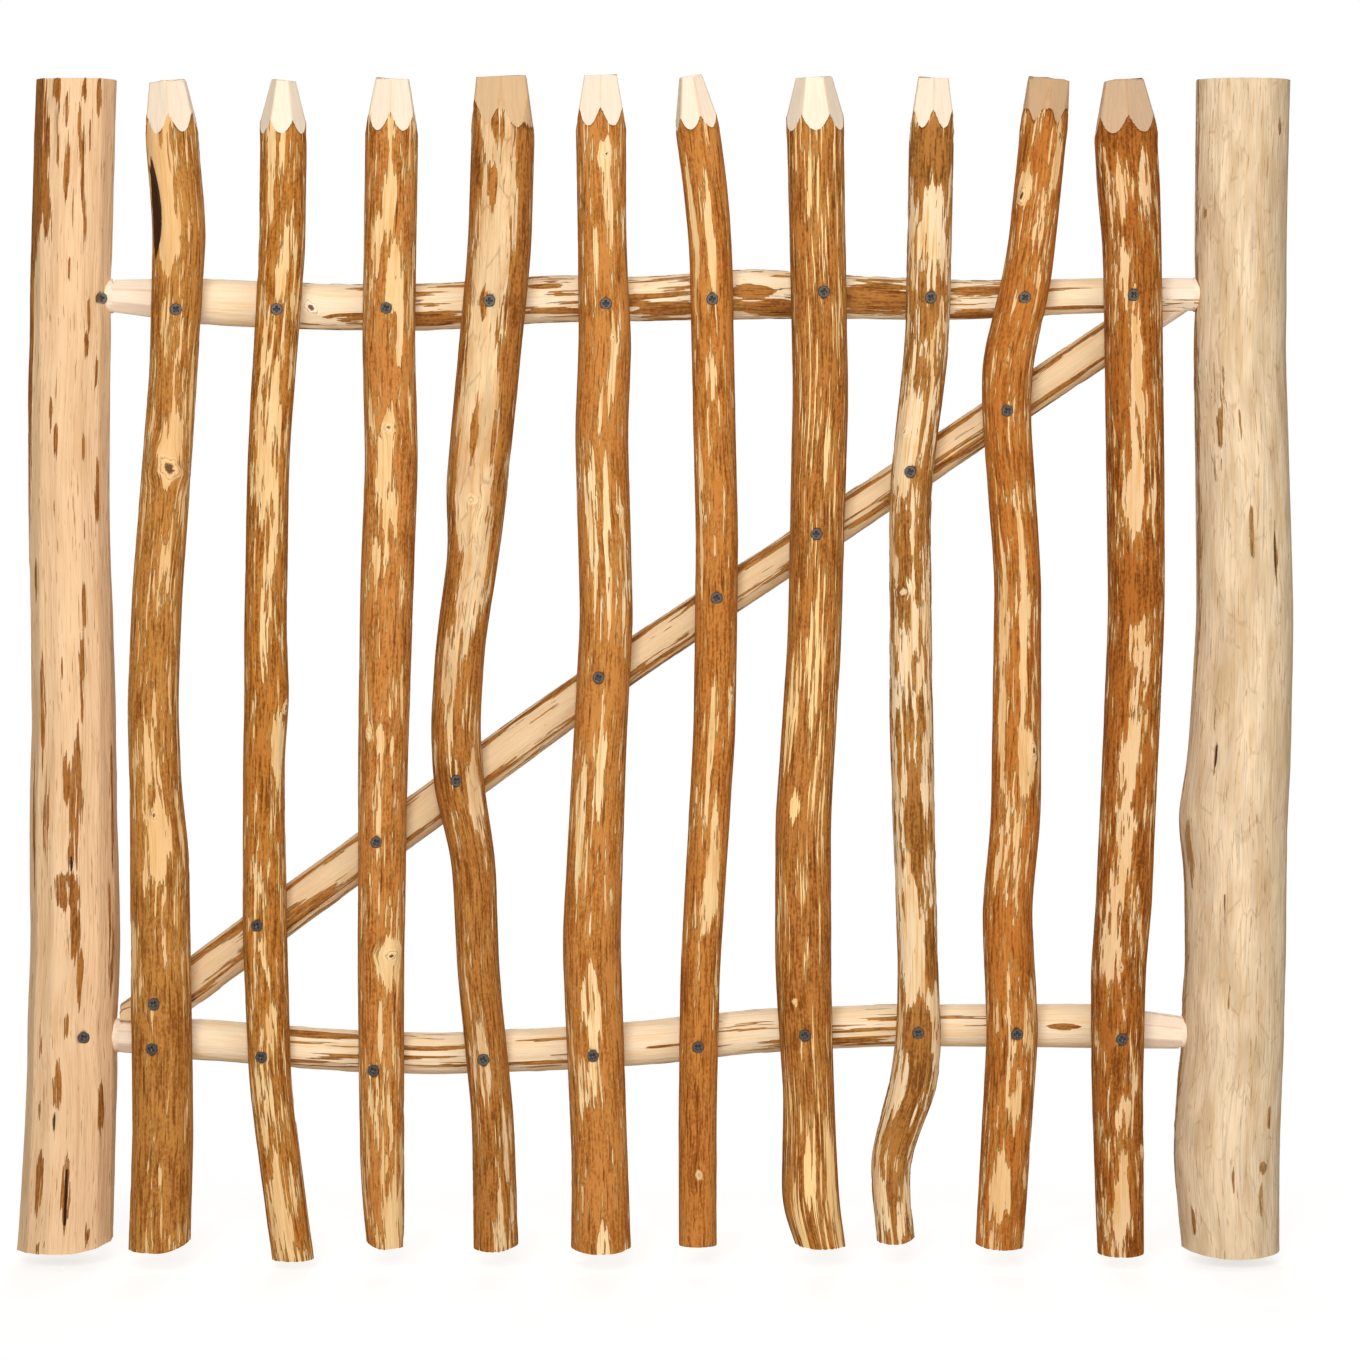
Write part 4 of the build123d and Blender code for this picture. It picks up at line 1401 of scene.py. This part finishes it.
PICKET_MARKS = [
    [
        bare(868, -15, 13, 56, 2.6), bare(838, -8, 13, 56, 2.6), bare(800, -7, 13, 60, 2.6),
        split(822, -17, 20, 80, 1.8), knot(622, 4, 22, 24, 1.2), bare(640, 4, 17, 65, 1.3),
        knot(353, 0, 8, 11), bare(335, 4, 15, 70, 1.3), bare(535, 5, 8, 70, 0.8),
        bark(120, 0, 60, 320, 0.45),
    ],
    [
        bare(852, -7, 8, 90, 1.2), bare(690, -2, 18, 220, 0.6), bare(570, 2, 22, 240, 0.7),
        bare(410, 11, 12, 56, 1.5), knot(436, 15, 10, 12), bare(190, -4, 20, 260, 0.45),
        bare(40, -5, 17, 130, 0.6),
    ],
    [
        bare(835, 1, 13, 60, 1.2), bare(768, 5, 11, 56, 1.2), bare(735, 9, 10, 70),
        bare(797, -8, 5, 46), knot(653, 0, 11, 11), bare(620, -1, 16, 95, 1.2),
        bare(540, -8, 8, 62, 1.3), knot(415, -10, 9, 13, 0.7), bare(412, 0, 9, 24),
        bare(237, 8, 20, 44, 1.5), knot(243, 9, 13, 14), bare(185, 0, 7, 52), bare(28, 8, 20, 70, 1.4),
        split(12, 15.5, 9, 32, 1.5),
    ],
    [
        bare(845, -4, 31, 190, 1.5), bare(735, -5, 31, 190, 1.5), bare(640, -4, 30, 170, 1.6),
        bark(760, 18.5, 11, 330, 1.1), bark(860, -20, 7, 110, 1.2), bark(892, -5, 4, 32, 1.6),
        bark(836, -5, 6, 36, 1.8), bark(752, -7, 9, 36, 1.5), bark(655, -5, 7, 64, 1.8),
        bare(585, 0, 30, 120, 1.3), bare(520, 3, 24, 90, 1.2), bark(540, -15, 10, 90, 1.2),
        knot(598, -3, 16, 12, 0.5), knot(860, 9, 4, 5, 0.6), bare(470, -8, 12, 66),
        bare(365, 12, 15, 70, 1.5), bare(270, -7, 9, 44), bare(155, -3, 11, 70), bare(98, 11, 9, 70),
        bare(26, 4, 8, 70),
    ],
    [
        knot(864, 4, 7, 8), bare(864, 4, 15, 28, 1.5), bare(822, 6, 7, 90, 1.5),
        bare(787, -4, 5, 52, 1.2), knot(723, 7, 6, 6), bare(705, 6, 8, 90, 1.4),
        bare(580, -8, 9, 130, 1.1), bare(555, 3, 7, 150, 1.5), knot(590, 13, 8, 9),
        bare(545, 14, 6, 130, 1.1), bare(395, 2, 8, 120, 1.1), bare(355, -12, 9, 120, 1.1),
        bare(205, -1, 13, 75, 1.5), bare(130, -12, 9, 80, 1.2), bare(15, 2, 12, 40),
    ],
    [
        bare(800, 1, 8, 80, 1.4), bare(800, -12, 7, 140, 1.2), bare(700, -2, 8, 60, 1.2),
        bare(652, -4, 7, 46, 1.2), bare(600, -11, 7, 130), bare(400, -2, 6, 120),
        bare(320, 4, 10, 110, 1.4), knot(447, 12, 6, 10), bare(285, 2, 16, 60, 1.2),
        bare(210, 12, 7, 70, 1.2), knot(70, 1, 11, 11, 0.5), bark(100, 0, 50, 170, 0.5),
    ],
    [
        bare(805, 2, 8, 110, 0.6), bare(470, 0, 16, 100, 0.7), bare(420, -16, 9, 110, 1.3),
        bare(360, -8, 9, 26, 1.5), bare(70, -2, 8, 60, 1.1), bare(45, 17, 12, 110, 1.5),
        bare(35, -12, 8, 70, 1.0), knot(207, -7, 6, 6),
    ],
    [
        bark(862, 0, 50, 50, 0.7), bare(805, 2, 20, 110, 0.6), bark(750, 0, 36, 50, 0.4),
        bare(640, -10, 20, 95, 1.3), knot(650, -10, 7, 9), bark(558, -6, 10, 70, 0.7),
        bark(345, 0, 14, 90, 1.2), knot(526, -6, 7, 9, 0.7), bare(250, -4, 16, 105, 1.3),
        bark(245, 10, 9, 70, 1.2), bark(185, 0, 28, 46, 0.8), bark(110, 3, 26, 150, 0.6),
        bare(140, -9, 8, 60, 1.0), bare(60, -10, 8, 70, 0.8),
    ],
    [
        bare(855, 12, 8, 42, 1.3), knot(832, -12, 11, 16), bare(838, -11, 16, 30, 0.8),
        bare(810, 3, 9, 60), bare(490, 3, 7, 240, 1.7), bare(480, -12, 9, 200, 1.4),
        knot(403, 12, 10, 14), bare(395, 8, 16, 52, 1.5), bare(335, -6, 18, 110, 0.7),
        bare(65, -3, 15, 64, 1.5), bare(128, 5, 9, 60, 1.2),
    ],
    [
        bare(842, 11, 9, 95, 1.1), bare(830, -9, 6, 46), bare(770, -9, 9, 70, 1.1),
        bare(665, 1, 12, 160, 1.2), bare(600, -3, 11, 70, 1.3), bark(525, -2, 24, 46, 1.4),
        bare(460, 3, 13, 150, 1.1), bare(355, -3, 14, 150, 1.1), bare(265, -10, 15, 85, 1.3),
        knot(234, 0, 5, 7), bare(118, 3, 10, 40), knot(88, 17, 10, 14, 0.8), bare(40, 0, 10, 110, 1.2),
        bark(880, 0, 50, 40, 0.6),
    ],
]


def gate_sticks() -> list[Stick]:
    """List the gate's sticks with their own skins and marks.

    Returns:
        The sticks, posts first.
    """
    tip, whittle, wedge = (0.0, 50.0), (132.0, 132.0), (100.0, 100.0)
    left_skin = HazelSkin(
        "hazel_peeled_left_post", bark="#A56A30", bark_dark="#7E481E", inner="#C08A4C", bare="#EFC99E",
        bare_deep="#DAB084", level=-0.25, streak_width=2.3, streak_length=64, wood_fibre=0.1, hairline=0.6,
    )
    right_skin = HazelSkin(
        "hazel_peeled_right_post", bark="#A87C4C", bark_dark="#8C6034", inner="#C8A575", bare="#F0D6B2",
        bare_deep="#CFAF86", level=-0.36, streak_width=2.6, streak_length=30, wood_fibre=0.26, hairline=0.6,
        thread_width=1.7, thread_length=46, flaking=0.24, mottle=0.45,
    )
    rail_colours = {"bark": "#AC7438", "bark_dark": "#844D20", "bare": "#FDE8C6", "bare_deep": "#EFCD9E"}
    top_skin = HazelSkin("hazel_half_peeled_top_rail", level=-0.06, streak_length=50, **rail_colours)
    bottom_skin = HazelSkin("hazel_half_peeled_bottom_rail", level=-0.15, streak_length=80, **rail_colours)
    brace_colours = {**rail_colours, "bare": "#EACCA2", "bare_deep": "#DDB98C"}
    brace_skin = HazelSkin("hazel_half_peeled_brace", level=-0.115, streak_length=60, **brace_colours)
    sticks = [
        Stick(
            "left_post", left_skin, "peeled_post", 1, LEFT_POST_MARKS,
            sides=120, flats=12, worn=(4.5, 5.5, 12),
        ),
        Stick("right_post", right_skin, "weathered_post", 2, RIGHT_POST_MARKS, sides=120, worn=(6, 1.5, 3)),
        Stick("top_rail", top_skin, "rail_hazel", 3, TOP_RAIL_MARKS, Lay.LEVEL, whittle),
        Stick("bottom_rail", bottom_skin, "rail_hazel", 4, BOTTOM_RAIL_MARKS, Lay.LEVEL, whittle),
        Stick("brace", brace_skin, "rail_hazel", 5, BRACE_MARKS, Lay.SLANTED, wedge),
    ]
    skins = [
        {"bark": "#B97D3C", "bark_dark": "#8A511B", "bare": "#EFC28A", "level": 0.07, "fresh": "#EDD8C0"},
        {"bark": "#B97631", "bark_dark": "#7E450F", "level": 0.085},
        {"bark": "#C48040", "bark_dark": "#90521A", "level": 0.085},
        {"bark": "#B37436", "bark_dark": "#7C4716", "bare": "#F3CF9F", "level": 0.115, "fresh": "#D6B288",
         "bare_deep": "#D2A26C", "wood_fibre": 0.26, "hairline": 0.6, "flaking": 0.3, "mottle": 0.45},
        {"bark": "#C48140", "bark_dark": "#9A5A1E", "bare": "#F8D9A6", "level": 0.14},
        {"bark": "#C27D3A", "bark_dark": "#92521A", "level": 0.155},
        {"bark": "#B87637", "bark_dark": "#7E4614", "bare": "#FFD696", "bare_deep": "#EDBE7E",
         "streak_width": 2.4, "streak_length": 64, "level": 0.105},
        {"bark": "#AC7236", "bark_dark": "#784819", "bare": "#F4DAB2", "level": -0.005, "streak_length": 36},
        {"bark": "#BC7230", "bark_dark": "#8E4F18", "bare": "#F2C994", "level": 0.11, "fresh": "#C4A17B",
         "streak_length": 38},
        {"bark": "#AC6628", "bark_dark": "#733C10", "bare": "#EEC798", "level": 0.105, "fresh": "#CAA988",
         "streak_length": 32},
    ]
    feet = [(0, 0, 7), (2, 2, 2), (5, 0, 1), (1, 0, 4), (3, 0, 3)]
    feet += [(0, 0, 0), (2, 0, 0), (1, 0, 4), (3, 0, 0), (3, 2, 3)]
    for number, (colours, marks, worn) in enumerate(zip(skins, PICKET_MARKS, feet), start=1):
        skin = HazelSkin(f"hazel_bark_picket_{number:02d}", **colours)
        name = f"picket_{number:02d}"
        sticks.append(Stick(name, skin, "bark_hazel", 10 + number, marks, Lay.UPRIGHT, tip, worn=worn))
    return sticks


def gate_screws() -> list[ScrewSpot]:
    """List the screws: one at each crossing, a little off it as they were driven.

    Returns:
        A spot for each screw.
    """
    spots = [ScrewSpot("left_post", "top_rail", 25.7, -2.0), ScrewSpot("left_post", "bottom_rail", 12.9, 2.0)]
    top = [(1, -8), (0, -4), (-1, -2), (-3, 0), (2, -5), (0, -4), (3, 2), (1, 0), (0, -1), (-2, -1)]
    bottom = [(-5, -1), (-5, -3), (-5, -8), (-2, 0), (-2, 0), (-1, -2), (-1, 2), (-1, 0), (2, 0), (2, -2)]
    brace = [(-3, 1), (-5, 4), (-3, 3), (-2, 6), (-3, 5), (0, 6), (-1, 4), (-2, 3), (-1, 1)]
    for onto, offsets in (("top_rail", top), ("bottom_rail", bottom), ("brace", brace)):
        for number, (across, up) in enumerate(offsets, start=1):
            spots.append(ScrewSpot(f"picket_{number:02d}", onto, across, up))
    return spots


def main() -> None:
    """Build the gate's looks around its frame."""
    logging.basicConfig(level=logging.INFO, format="%(message)s")
    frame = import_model()
    relief = relief_tree()
    sawn = SawnEnd().build()
    screws = Screws(gate_screws())
    sticks = {}
    for stick in gate_sticks():
        stick.marks = stick.marks + screws.bores(frame, stick.node)
        sticks[stick.node] = stick.build(frame, relief, sawn)
    bpy.context.view_layer.update()
    screws.build(frame, sticks)
    Studio().build()


if __name__ == "__main__":
    main()
